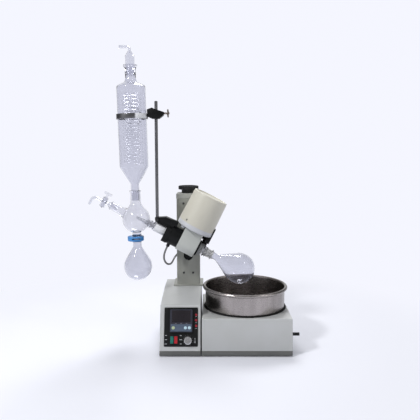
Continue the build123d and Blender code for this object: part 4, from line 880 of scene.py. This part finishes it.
def hand_wheel():
    low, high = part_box("lift_knob")
    place = Matrix.Translation(((low.x + high.x) / 2, (low.y + high.y) / 2, low.z))
    grip = finish("wheel_black", (0.018, 0.018, 0.019), (0.025, 0.025, 0.026), (0.4, 0.55), gleam=0.3)
    outline = [
        (0, 0),
        (wheel_stem, 0),
        (wheel_stem, wheel_stem_high, 0.002),
        (wheel_radius, wheel_stem_high, 0.002),
        (wheel_radius, wheel_high, 0.003),
        (wheel_radius * 0.8, wheel_high, 0.002),
        (wheel_radius * 0.72, wheel_high - 0.003, 0.002),
        (0, wheel_high - 0.003),
    ]
    put("hand_wheel", turned("hand_wheel", outline, place, grip), "lift_screw", "black_plastic", "lift_knob")
    rib = [
        (0, wheel_stem_high + 0.0007),
        (rib_radius, wheel_stem_high + 0.0007, 0.001),
        (rib_radius, wheel_high - 0.0012, 0.001),
        (0, wheel_high - 0.0012),
    ]
    part = turned("rib", rib, Matrix.Translation((wheel_radius - rib_radius * 0.2, 0, 0)), grip, steps=14)
    put("wheel_ribs", ringed("wheel_ribs", part, place, grip, rib_count), "lift_screw", "black_plastic")


hand_wheel()


# Carriage: a black finished casting on the guide rods. Its arm passes the column's slot and carries the
# tilt pin and the quadrant, whose rim the tilt lock grips.
black_casting = finish(
    "black_casting", (0.0045, 0.005, 0.0055), (0.008, 0.0085, 0.009), (0.3, 0.45), relief=0.00005, gleam=0.16
)
refined("carriage", black_casting, "black_casting", edge=0.0006)
refined("pivot_shaft", dark_screw, "steel", edge=0.0003)
refined("tilt_lock_knob", matt_black, "black_plastic", edge=0.0004)


# Gear housing: a light grey enamelled casting round the rotation axis, square under the motor. Its back
# pad turns on the tilt pin.
barrel_enamel = finish("barrel_enamel", (0.50, 0.515, 0.49), (0.45, 0.465, 0.44), (0.3, 0.42), relief=0.00003)
refined("gear_housing", barrel_enamel, "barrel_enamel", edge=0.0008)
refined("head_bracket", black_casting, "black_casting", edge=0.0006)
refined("rear_bearing_housing", black_casting, "black_casting", edge=0.0008)
refined("glassware_arm", black_casting, "black_casting", edge=0.0008)


# Motor cover: a cream enamelled cap with a slight draft and a recessed top, drawn from sheet. It stands on
# a grey moulded ring over the motor's stator and rotor, and a small dark screw holds it at its foot.
axis_slope = radians(27.0)


def leaning(origin, along, sideways=(0, 1, 0)):
    """A place whose Z runs along the given direction."""
    z = Vector(along).normalized()
    x = Vector(sideways).cross(z).normalized()
    y = z.cross(x)
    return Matrix.Translation(origin) @ Matrix((x, y, z)).transposed().to_4x4()


motor_place = leaning(tilt_pivot, (sin(axis_slope), 0, cos(axis_slope)))
axis_place = leaning(tilt_pivot, (cos(axis_slope), 0, -sin(axis_slope)))
ring_high = 0.064
ring_radius = 0.059
cover_high = 0.168
cover_top_radius = 0.0565
cover_edge = 0.004
cover_recess = 0.003
cover_recess_radius = 0.049
cover_screw_turn = radians(-128)
cover_screw_level = 0.072


def motor_cover():
    cream = finish("cream_enamel", (0.60, 0.58, 0.50), (0.55, 0.53, 0.455), (0.32, 0.42), grain=1200.0)
    rim_painted_highlight = finish("cream_rim", (0.74, 0.73, 0.66), (0.70, 0.69, 0.62), (0.3, 0.4), grain=1200.0)
    floor = cover_high - cover_recess
    wall = 0.0025
    outline = [
        (ring_radius, ring_high),
        (cover_top_radius, cover_high, cover_edge),
        (cover_recess_radius, cover_high, 0.001),
        (cover_recess_radius, floor, 0.001),
        (0, floor),
        (0, floor - wall),
        (cover_top_radius - wall, floor - wall, 0.002),
        (ring_radius - wall, ring_high),
    ]
    # Painted highlight: the flat top round the recess gets a lighter cream, where the top catches the light.
    bands = [(cover_high - 0.0009, cover_high + 0.0001, rim_painted_highlight)]
    cap = turned("motor_cap", outline, motor_place, cream, steps=128, bands=bands)
    put("motor_cap", cap, "head", "cream_enamel", "motor_cover")
    way = Vector((cos(cover_screw_turn), sin(cover_screw_turn), 0))
    spot = motor_place @ Matrix.Translation(way * (ring_radius - 0.0009) + Vector((0, 0, cover_screw_level)))
    place = spot @ way.to_track_quat("Z", "Y").to_matrix().to_4x4()
    outline = [(0, 0), (0.0028, 0), (0.0028, 0.0014, 0.0006), (0.0013, 0.0014), (0.0013, 0.0006), (0, 0.0006)]
    put("cover_screw", turned("cover_screw", outline, place, dark_screw, steps=28), "head", "steel")


motor_cover()
ring_plastic = finish("ring_plastic", (0.56, 0.57, 0.60), (0.52, 0.53, 0.56), (0.3, 0.4))
refined("motor_ring", ring_plastic, "ring_plastic", edge=0.0006)
refined("motor_stator", cast_grey, "steel")
refined("motor_rotor", bright_steel, "steel")


# Duct collar: a white fluoropolymer collar round the duct's left end, turned from bar. It is pushed on
# the end of the black bearing housing.
white_resin = finish("white_resin", (0.82, 0.825, 0.85), (0.76, 0.77, 0.80), (0.28, 0.4), relief=0.000008)
refined("duct_collar", white_resin, "white_resin", edge=0.0006)


# Spindle and gears: a hollow steel spindle in two bearings, driven by a brass face gear and the motor's
# pinion. All of it is turned, and the teeth are milled. A black rubber ring seals the front bearing.
seal_start = 0.033
seal_lip = 0.0062
seal_bore = 0.0210
seal_radius = 0.0296
brass = finish("cut_brass", (0.60, 0.42, 0.16), (0.52, 0.36, 0.13), (0.22, 0.36), metal=1.0)
refined("spindle", bright_steel, "steel", edge=0.0003)
bearings = refined("spindle_bearings", bright_steel, "steel", edge=0.0003)
painted(bearings, black_rubber, axis_place, lambda spot, way: spot.z > seal_start - 0.0001)
refined("crown_gear", brass, "brass_part")
lip = [
    (seal_bore, seal_start),
    (seal_radius, seal_start, 0.0008),
    (seal_radius - 0.004, seal_start + seal_lip, 0.0008),
    (seal_bore, seal_start + seal_lip),
]
put("seal_lip", turned("seal_lip", lip, axis_place, black_rubber), "head", "rubber_black")


# Flask nut: a grey moulded nut with a fine grip round its wall. It is screwed on the spindle's thread and
# draws the flask's joint off the cone. The grooves of its grip are painted near black, as painted shade.
nut_grey = finish("nut_grey", (0.36, 0.365, 0.37), (0.31, 0.315, 0.32), (0.3, 0.42))
# Painted shade: the faces down in the grip's grooves are coloured near black.
groove_grey = finish("groove_grey", (0.04, 0.04, 0.042), (0.06, 0.06, 0.062), (0.45, 0.6))
nut_reach = 0.0205
groove_depth = 0.0009
crest_depth = 0.0001


def in_groove(spot, way):
    """Below the crests of the grip, on the nut's outer wall."""
    return nut_reach - groove_depth < hypot(spot.x, spot.y) < nut_reach - crest_depth


painted(refined("flask_nut", nut_grey, "nut_grey"), groove_grey, axis_place, in_groove)


# Evaporating flask: a pear shaped flask blown from borosilicate glass with a real wall. Its joint is
# ground matt where it seats, and a wire clip holds it.
def glass(name, tone, roughness, relief, scale, clear=1.0, bend=1.47):
    """Clear or ground glass. Relief and scale give the slow waves of a blown wall or the ground grain, clear
    is the share of the light that passes and bend how strongly it is refracted."""
    made, tree, surface = blank(name, Transmission_Weight=clear, IOR=bend)
    waves = noise(tree, node(tree, "ShaderNodeTexCoord").outputs["Object"], scale, 1.5)
    deeper = [channel * 0.96 for channel in tone]
    rough = ranged(tree, waves, end=(roughness * 0.7, roughness * 1.3))
    coated(tree, surface, waves, (tone, deeper), rough, waves, relief)
    return made


clear_glass = glass("clear_glass", (0.80, 0.805, 0.85), 0.012, 0.0001, 26.0)
jacket_glass = glass("jacket_glass", (0.81, 0.815, 0.86), 0.012, 0.0001, 26.0)
pale_glass = glass("pale_glass", (0.85, 0.855, 0.89), 0.012, 0.0001, 26.0)
bulb_glass = glass("bulb_glass", (0.87, 0.872, 0.90), 0.012, 0.0001, 26.0)
ground_glass = glass("ground_glass", (0.92, 0.92, 0.915), 0.25, 0.00002, 1400.0, clear=0.82)

flask_reach = 0.187
flask_place = axis_place @ Matrix.Translation((0, 0, flask_reach)) @ Matrix.Rotation(pi, 4, "X")
flask_radius = 0.0505
flask_wall = 0.0016
neck_radius = 0.0105
neck_start = 0.082
socket_low = 0.096
mouth_level = 0.130
socket_radius = 0.0144
socket_bore = 0.0119
bead_reach = 0.0172
bead_width = 0.004


def pear_line(radius, neck, neck_height, steps=40):
    """The outline of a round vessel from its bottom to where a tangent cone meets the neck."""
    reach = hypot(neck, neck_height)
    top = atan2(neck_height, neck) - acos(radius / reach)
    points = []
    for step in range(steps + 1):
        turn = -pi / 2 + (top + pi / 2) * step / steps
        points.append((radius * cos(turn), radius * sin(turn)))
    return points + [(neck, neck_height, 0.02)]


def evaporating_flask():
    outer = pear_line(flask_radius, neck_radius, neck_start)
    inner = pear_line(flask_radius - flask_wall, neck_radius - flask_wall, neck_start)
    bead_start = mouth_level - bead_width
    outline = [
        *outer,
        (neck_radius, socket_low - 0.004, 0.003),
        (socket_radius - 0.0016, socket_low, 0.003),
        (socket_radius, bead_start, 0.001),
        (bead_reach, bead_start, 0.0012),
        (bead_reach, mouth_level, 0.0012),
        (socket_bore, mouth_level, 0.0004),
        (socket_bore - 0.0016, socket_low + 0.001, 0.002),
        (neck_radius - flask_wall, socket_low - 0.003, 0.003),
        *reversed(inner),
    ]
    bands = [(socket_low + 0.001, bead_start, ground_glass)]
    mesh = turned("pear_flask", outline, flask_place, clear_glass, steps=128, bands=bands)
    put("pear_flask", mesh, "spindle_group", "glass_clear", "evaporating_flask")


evaporating_flask()
refined("flask_clip", bright_steel, "steel")


# Vapour duct: a glass tube through the spindle that ends in a ground cone, with a white fluoropolymer
# nozzle pushed on its left end inside the bulb.
duct_body = frame["nodes"]["vapour_duct"]["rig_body"]
duct_radius = 0.008
duct_bore = 0.0056
duct_left = -0.112
duct_cone_start = 0.060
duct_cone_end = 0.090
nozzle_tip = -0.182
nozzle_tip_radius = 0.004
nozzle_wall = 0.0014
nozzle_shoulder = -0.140


def duct():
    outline = [
        (duct_bore, duct_left),
        (duct_radius, duct_left),
        (duct_radius, duct_cone_start - 0.006, 0.002),
        (0.0118, duct_cone_start - 0.002, 0.001),
        (0.0102, duct_cone_end),
        (duct_radius, duct_cone_end),
        (duct_radius, duct_cone_start, 0.002),
        (duct_bore, duct_cone_start - 0.008, 0.002),
    ]
    ground = [(duct_cone_start - 0.0015, duct_cone_end - 0.0005, ground_glass)]
    tube = turned("vapour_tube", outline, axis_place, pale_glass, bands=ground)
    put("vapour_tube", tube, duct_body, "glass_clear", "vapour_duct")
    outline = [
        (nozzle_tip_radius - nozzle_wall, nozzle_tip),
        (nozzle_tip_radius, nozzle_tip, 0.0003),
        (duct_radius, nozzle_shoulder, 0.002),
        (duct_radius, duct_left),
        (duct_bore, duct_left),
        (duct_bore, nozzle_shoulder + 0.002, 0.002),
    ]
    nozzle = turned("duct_nozzle_form", outline, axis_place, white_resin)
    put("duct_nozzle_form", nozzle, duct_body, "white_resin")


duct()


# Distributor bulb: a blown bulb with a socket on top, a flanged neck below and ports for the vapour duct
# and the feed, clipped to the collar with a wire clip.
glass_lean = radians(1.4)
bulb_middle = tilt_pivot + Vector((-0.163, 0, 0.076))
glass_place = leaning(bulb_middle, (-sin(glass_lean), 0, cos(glass_lean)))
feed_place = leaning(bulb_middle, (-0.8746, 0, 0.4848))
bulb_radius = 0.044
bulb_room_radius = 0.0422
flange_radius = 0.0185
flange_low = -0.062
flange_thick = 0.002
top_neck_radius = 0.0165
top_neck_bore = 0.0131
top_neck_low = 0.050
port_end = 0.092
port_bead = 0.0048
side_port_radius = 0.012
side_port_bore = 0.0102
side_port_left = -0.1829
side_port_right = -0.1158
side_port_bead = 0.0035
feed_port_radius = 0.0125
feed_port_bore = 0.0107
past_face = 0.001


def fused(name, outers, inners, material, extra=()):
    """One closed glass body: the outer forms joined, with the inner forms cut out of them."""
    holder = linked(name, outers[0])
    tools = []
    for operation, meshes in (("UNION", outers[1:]), ("DIFFERENCE", inners)):
        for mesh in meshes:
            tools.append(linked(name + "_tool", mesh))
            cutter = holder.modifiers.new(operation, "BOOLEAN")
            cutter.operation = operation
            cutter.solver = "EXACT"
            cutter.object = tools[-1]
    mesh = plain_mesh(holder)
    for tool in tools:
        bpy.data.objects.remove(tool)
    mesh.materials.clear()
    for entry in (material, *extra):
        mesh.materials.append(entry)
    mesh.shade_smooth()
    mesh.set_sharp_from_angle(angle=radians(form_crease))
    return mesh


def arc_line(radius, low, high, steps=36):
    """The outline of a sphere between two heights."""
    first = asin(low / radius)
    last = asin(high / radius)
    return [
        (radius * cos(first + (last - first) * step / steps), radius * sin(first + (last - first) * step / steps))
        for step in range(steps + 1)
    ]


def bore_line(radius, low, high):
    """The outline of a plain cylinder."""
    return [(0, low), (radius, low), (radius, high), (0, high)]


def distributor_bulb():
    bead_start = port_end - port_bead
    body = [
        (0, flange_low),
        (flange_radius, flange_low, 0.0006),
        (flange_radius, flange_low + flange_thick, 0.0006),
        (0.014, -0.050, 0.004),
        *arc_line(bulb_radius, -0.0417, 0.0352),
        (top_neck_radius + 0.0003, top_neck_low, 0.006),
        (top_neck_radius, bead_start, 0.0006),
        (top_neck_radius + 0.0019, bead_start, 0.001),
        (top_neck_radius + 0.0019, port_end, 0.001),
        (0, port_end),
    ]
    right_port = [
        (0, side_port_left),
        (side_port_radius, side_port_left),
        (side_port_radius, side_port_right - side_port_bead),
        (side_port_radius + 0.0028, side_port_right - side_port_bead),
        (side_port_radius + 0.0028, side_port_right),
        (0, side_port_right),
    ]
    feed_bead = port_end - 0.0036
    feed_port = [
        (0, 0.034),
        (0.0185, 0.036),
        (feed_port_radius, 0.056, 0.008),
        (feed_port_radius, feed_bead),
        (feed_port_radius + 0.0018, feed_bead, 0.0008),
        (feed_port_radius + 0.0018, port_end, 0.0008),
        (0, port_end),
    ]
    room = [
        (0, flange_low - past_face),
        (0.0122, flange_low - past_face),
        *arc_line(bulb_room_radius, -0.0404, 0.0338),
        (0.0148, top_neck_low - 0.0008, 0.005),
        (top_neck_bore, 0.0575, 0.003),
        (top_neck_bore, port_end + past_face),
        (0, port_end + past_face),
    ]
    right_bore = bore_line(side_port_bore, side_port_left, side_port_right + past_face)
    feed_bore = bore_line(feed_port_bore, 0.030, port_end + past_face)
    ground = [(0.058, 0.087, ground_glass)]
    outers = [
        turned("bulb_body", body, glass_place, bulb_glass, steps=128, bands=ground),
        turned("bulb_port", right_port, axis_place, bulb_glass, steps=96),
        turned("bulb_feed", feed_port, feed_place, bulb_glass, steps=96),
    ]
    inners = [
        turned("bulb_room", room, glass_place, bulb_glass, steps=128, bands=ground),
        turned("bulb_bore", right_bore, axis_place, bulb_glass, steps=96),
        turned("feed_bore", feed_bore, feed_place, bulb_glass, steps=96),
    ]
    mesh = fused("blown_bulb", outers, inners, bulb_glass, extra=(ground_glass,))
    put("blown_bulb", mesh, "head", "glass_clear", "distributor_bulb")


distributor_bulb()
refined("bulb_clip", bright_steel, "steel")


# Receiving flask: a pear shaped receiver blown from borosilicate glass, with a flanged joint. A blue
# moulded clip holds its flange to the bulb's.
receiver_middle = -0.153
receiver_radius = 0.045
receiver_neck = 0.014
receiver_neck_height = 0.063
receiver_wall = 0.0018
receiver_top = 0.0909


def receiving_flask():
    place = glass_place @ Matrix.Translation((0, 0, receiver_middle))
    bore = receiver_neck - receiver_wall
    outline = [
        *pear_line(receiver_radius, receiver_neck, receiver_neck_height),
        (receiver_neck, 0.0800, 0.003),
        (flange_radius, receiver_top - flange_thick, 0.0006),
        (flange_radius, receiver_top, 0.0006),
        (bore, receiver_top),
        *reversed(pear_line(receiver_radius - receiver_wall, bore, receiver_neck_height)),
    ]
    mesh = turned("pear_receiver", outline, place, clear_glass, steps=128)
    put("pear_receiver", mesh, "head", "glass_clear", "receiving_flask")


blue_clip = finish("blue_clip", (0.04, 0.21, 0.52), (0.05, 0.24, 0.58), (0.24, 0.34), coat=0.2)
refined("keck_clip", blue_clip, "blue_plastic", edge=0.0005)
receiving_flask()


# Condenser: a tall jacket with a ground cone at its foot and a socket at its top, drawn from one tube. The
# ends of the cooling coil come out through its back.
coil_radius = 0.027
coil_tube = 0.0037
coil_fit = 0.00005
coil_low = 0.176
coil_pitch = 0.011
coil_turns = 20
coil_reach = 0.069
jacket_radius = 0.045
jacket_wall = 0.0018
jacket_low = 0.166
jacket_high = 0.417
cone_low = 0.060
cone_high = 0.092
cone_radius = 0.013
socket_start = 0.441
socket_stop = 0.481
socket_lip = 0.0215
jacket_bore = 0.0147


def condenser_shell():
    inner = jacket_radius - jacket_wall
    outline = [
        (0.0114, cone_low),
        (cone_radius, cone_high),
        (cone_radius, 0.112, 0.006),
        (jacket_radius, jacket_low, 0.012),
        (jacket_radius, jacket_high, 0.010),
        (0.0201, 0.429, 0.004),
        (0.0162, socket_start, 0.003),
        (0.0172, 0.470),
        (socket_lip, 0.4785, 0.002),
        (socket_lip, socket_stop, 0.001),
        (jacket_bore, socket_stop),
        (jacket_bore, socket_start),
        (0.0185, 0.4275, 0.003),
        (inner, jacket_high - 0.0015, 0.009),
        (inner, jacket_low + 0.0005, 0.011),
        (0.0112, 0.1125, 0.005),
        (0.0096, cone_low),
    ]
    bands = [(0.0605, 0.0915, ground_glass), (0.4415, 0.4695, ground_glass)]
    jacket = turned("jacket", outline, glass_place, jacket_glass, steps=128, bands=bands)
    holes = []
    for level in (coil_low, coil_low + coil_pitch * coil_turns):
        line = [(0, 0.03, level), (0, 0.06, level)]
        holes.append(round_bar("hole", line, coil_tube + coil_fit, jacket_glass, place=glass_place))
    mesh = fused("condenser_jacket", [jacket], holes, jacket_glass, extra=(ground_glass, ground_glass))
    put("condenser_jacket", mesh, "head", "glass_clear", "condenser_shell")


condenser_shell()


# Coil: one long glass tube wound on a mandrel in twenty turns. Both of its ends are led out to spigots for
# the water hoses.
def spiral_tree():
    """The line of a coil round the Z axis, as a chain of edges."""
    tree, start = shape_tree("coil_line", Turns="Float", Radius="Float", Height="Float", Steps="Int")
    sizes = {
        "Rotations": start["Turns"],
        "Resolution": start["Steps"],
        "Start Radius": start["Radius"],
        "End Radius": start["Radius"],
        "Height": start["Height"],
    }
    spiral = node(tree, "GeometryNodeCurveSpiral", sizes).outputs[0]
    line = node(tree, "GeometryNodeCurveToMesh", {"Curve": spiral}).outputs["Mesh"]
    real = node(tree, "GeometryNodeRealizeInstances", {"Geometry": line}).outputs["Geometry"]
    node(tree, "NodeGroupOutput", {"Geometry": real})
    return tree


coil_line = spiral_tree()
coil_spigot_radius = 0.0046
coil_glass = glass("coil_glass", (0.985, 0.985, 0.99), 0.012, 0.00005, 40.0, bend=1.33)


def condenser_coil():
    rise = coil_pitch * coil_turns
    seed = bpy.data.meshes.new("coil_seed")
    line = grown(coil_line, seed, Turns=float(coil_turns), Radius=coil_radius, Height=rise, Steps=32)
    turn = Matrix.Translation((0, 0, coil_low)) @ Matrix.Rotation(pi / 2, 4, "Z")
    spots = [turn @ vertex.co for vertex in line.vertices]
    top = Vector((0, 0, coil_low + rise))
    low = Vector((0, 0, coil_low))
    first = spots[2]
    last = spots[-3]
    ends = [Vector((0, coil_reach, 0)), Vector((0, coil_radius + 0.011, 0)), Vector((0, coil_radius + 0.005, 0))]
    route = [low + spot for spot in ends] + [first, *spots[3:-3], last] + [top + spot for spot in reversed(ends)]
    tube = round_bar("coil", route, coil_tube, coil_glass, sides=16, place=glass_place)
    put("wound_coil", tube, "head", "glass_clear", "condenser_coil")
    spigot_bore = coil_tube + 0.00004
    for name, level in (("low", low), ("high", top)):
        place = glass_place @ Matrix.Translation(level) @ Matrix.Rotation(-pi / 2, 4, "X")
        outline = [
            (spigot_bore, coil_reach - 0.014),
            (coil_spigot_radius, coil_reach - 0.013, 0.0003),
            (coil_spigot_radius, coil_reach, 0.0003),
            (spigot_bore, coil_reach),
        ]
        spigot = turned("coil_spigot", outline, place, coil_glass, steps=32)
        put("coil_spigot_" + name, spigot, "head", "glass_clear")


condenser_coil()


# Vacuum adapter: a plug ground into the condenser's top, with a shoulder and a bent tube whose spigot
# takes the vacuum hose.
def bent(points, radius, steps=10):
    """The path with each inner corner rounded by the radius."""
    spots = [Vector(point) for point in points]
    path = [spots[0]]
    for before, here, after in zip(spots, spots[1:], spots[2:]):
        back = (before - here).normalized()
        on = (after - here).normalized()
        reach = radius / tan(back.angle(on) / 2)
        start = here + back * reach
        centre = here + (back + on).normalized() * (radius / sin(back.angle(on) / 2))
        stop = here + on * reach
        a = start - centre
        b = stop - centre
        for step in range(steps + 1):
            path.append(centre + a.slerp(b, step / steps).normalized() * radius)
    return path + [spots[-1]]


glass_tube_radius = 0.0048
hose_radius = 0.0054
adapter_bore = 0.0030
adapter_arm_level = 0.536
adapter_reach = 0.032
adapter_low = 0.452
adapter_shoulder = 0.508
adapter_top = 0.524
adapter_radius = 0.0145


def vacuum_adapter():
    body = [
        (0, adapter_low),
        (0.0130, adapter_low, 0.0008),
        (0.0146, 0.4828),
        (adapter_radius, 0.4846),
        (adapter_radius, adapter_shoulder, 0.006),
        (0.0046, adapter_top),
        (0, adapter_top),
    ]
    room = [(0, 0.451), (0.0112, 0.451), (0.0127, 0.507, 0.005), (0.0028, 0.522), (0, 0.522)]
    end = (-adapter_reach, 0, adapter_arm_level)
    route = bent([(0, 0, 0.515), (0, 0, adapter_arm_level), end], 0.009)
    spigot = [(0.014 - adapter_reach, 0, adapter_arm_level), end]
    bore = route + [Vector((-adapter_reach - 0.002, 0, adapter_arm_level))]
    outers = [
        turned("plug", body, glass_place, pale_glass, steps=96, bands=[(0.4525, 0.4826, ground_glass)]),
        round_bar("arm", route, glass_tube_radius, pale_glass, sides=40, place=glass_place),
        round_bar("spigot", spigot, hose_radius, pale_glass, sides=40, place=glass_place),
    ]
    inners = [
        turned("room", room, glass_place, pale_glass, steps=96),
        round_bar("bore", bore, adapter_bore, pale_glass, sides=32, place=glass_place),
    ]
    mesh = fused("bent_adapter", outers, inners, pale_glass, extra=(ground_glass,))
    put("bent_adapter", mesh, "head", "glass_clear", "vacuum_adapter")


vacuum_adapter()


# Feed stopcock: a cone in the bulb's side port with a cross barrel and a bent outlet. Its ground plug has a
# cross bore, and a wing handle turns it.
tap_level = 0.116
tap_bore = 0.0024
tap_low = 0.068
barrel_radius = 0.0085
barrel_ends = (-0.014, 0.017)
key_end = -0.028
key_stem_radius = 0.0039
outlet_level = 0.1545
outlet_reach = 0.029
plug_place = feed_place @ Matrix.Translation((0, 0, tap_level)) @ Matrix.Rotation(-pi / 2, 4, "Y")


def feed_stopcock():
    cone = [
        (0, tap_low),
        (0.0091, tap_low),
        (0.0106, port_end),
        (glass_tube_radius, 0.101, 0.003),
        (glass_tube_radius, tap_level),
        (0, tap_level),
    ]
    low, high = barrel_ends
    barrel = [(0, low), (barrel_radius, low, 0.0008), (barrel_radius, high, 0.0008), (0, high)]
    seat = [(0, -0.0145), (0.00622, -0.0145), (0.00502, 0.0175), (0, 0.0175)]
    route = bent([(0, 0, tap_level), (0, 0, outlet_level), (-outlet_reach, 0, outlet_level)], 0.014)
    outers = [
        turned("cone", cone, feed_place, pale_glass, steps=64, bands=[(0.0685, 0.0915, ground_glass)]),
        turned("barrel", barrel, plug_place, pale_glass, steps=64),
        round_bar("outlet", route, glass_tube_radius, pale_glass, sides=40, place=feed_place),
    ]
    bore = [Vector((0, 0, 0.066))] + route + [Vector((-outlet_reach - 0.002, 0, outlet_level))]
    inners = [
        turned("seat", seat, plug_place, pale_glass, steps=64),
        round_bar("bore", bore, tap_bore, pale_glass, sides=28, place=feed_place),
    ]
    mesh = fused("feed_cock", outers, inners, pale_glass, extra=(ground_glass,))
    put("feed_cock", mesh, "head", "glass_clear", "feed_stopcock")


def stopcock_key():
    plug = [
        (0, key_end),
        (key_stem_radius, key_end),
        (key_stem_radius, -0.0155, 0.001),
        (0.0062, -0.0145),
        (0.0050, 0.0175, 0.0006),
        (0.0044, 0.0180),
        (0.0012, 0.022, 0.0006),
        (0, 0.022),
    ]
    flat = plug_place @ Matrix.Translation((0, 0, key_end)) @ Matrix.Rotation(pi / 2, 4, "X")
    outers = [
        turned("key_plug", plug, plug_place, pale_glass, steps=64),
        plate("key_wing", oblong(0.026, 0.008, 0.0036), -0.0025, 0.0025, flat, pale_glass),
    ]
    way = [(0, 0, tap_level - 0.011), (0, 0, tap_level + 0.011)]
    inners = [round_bar("way", way, tap_bore, pale_glass, sides=28, place=feed_place)]
    mesh = fused("cock_plug", outers, inners, pale_glass)
    put("cock_plug", mesh, frame["nodes"]["stopcock_key"]["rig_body"], "glass_clear", "stopcock_key")


feed_stopcock()
stopcock_key()


# Rod and clamp: a ground steel rod in the arm's horn, and a black cast boss with a steel band and a white
# lining that steadies the condenser. A cross handled screw pinches the rod.
rod_steel = finish("rod_steel", (0.16, 0.16, 0.17), (0.20, 0.20, 0.21), (0.2, 0.34), metal=0.9)
dark_band = finish("dark_band", (0.13, 0.13, 0.14), (0.2, 0.2, 0.21), (0.22, 0.36), metal=1.0)
brown_steel = finish("brown_steel", (0.16, 0.13, 0.115), (0.22, 0.19, 0.17), (0.25, 0.4), metal=0.9)
refined("support_rod", rod_steel, "rod_steel")
refined("rod_lock_screw", dark_screw, "steel", edge=0.0003)
refined("clamp_lining", white_resin, "white_resin", edge=0.0003)
refined("clamp_band", dark_band, "steel", edge=0.0003)
refined("clamp_boss", black_casting, "black_casting", edge=0.001)
refined("clamp_thumb_screw", brown_steel, "steel", edge=0.0002)
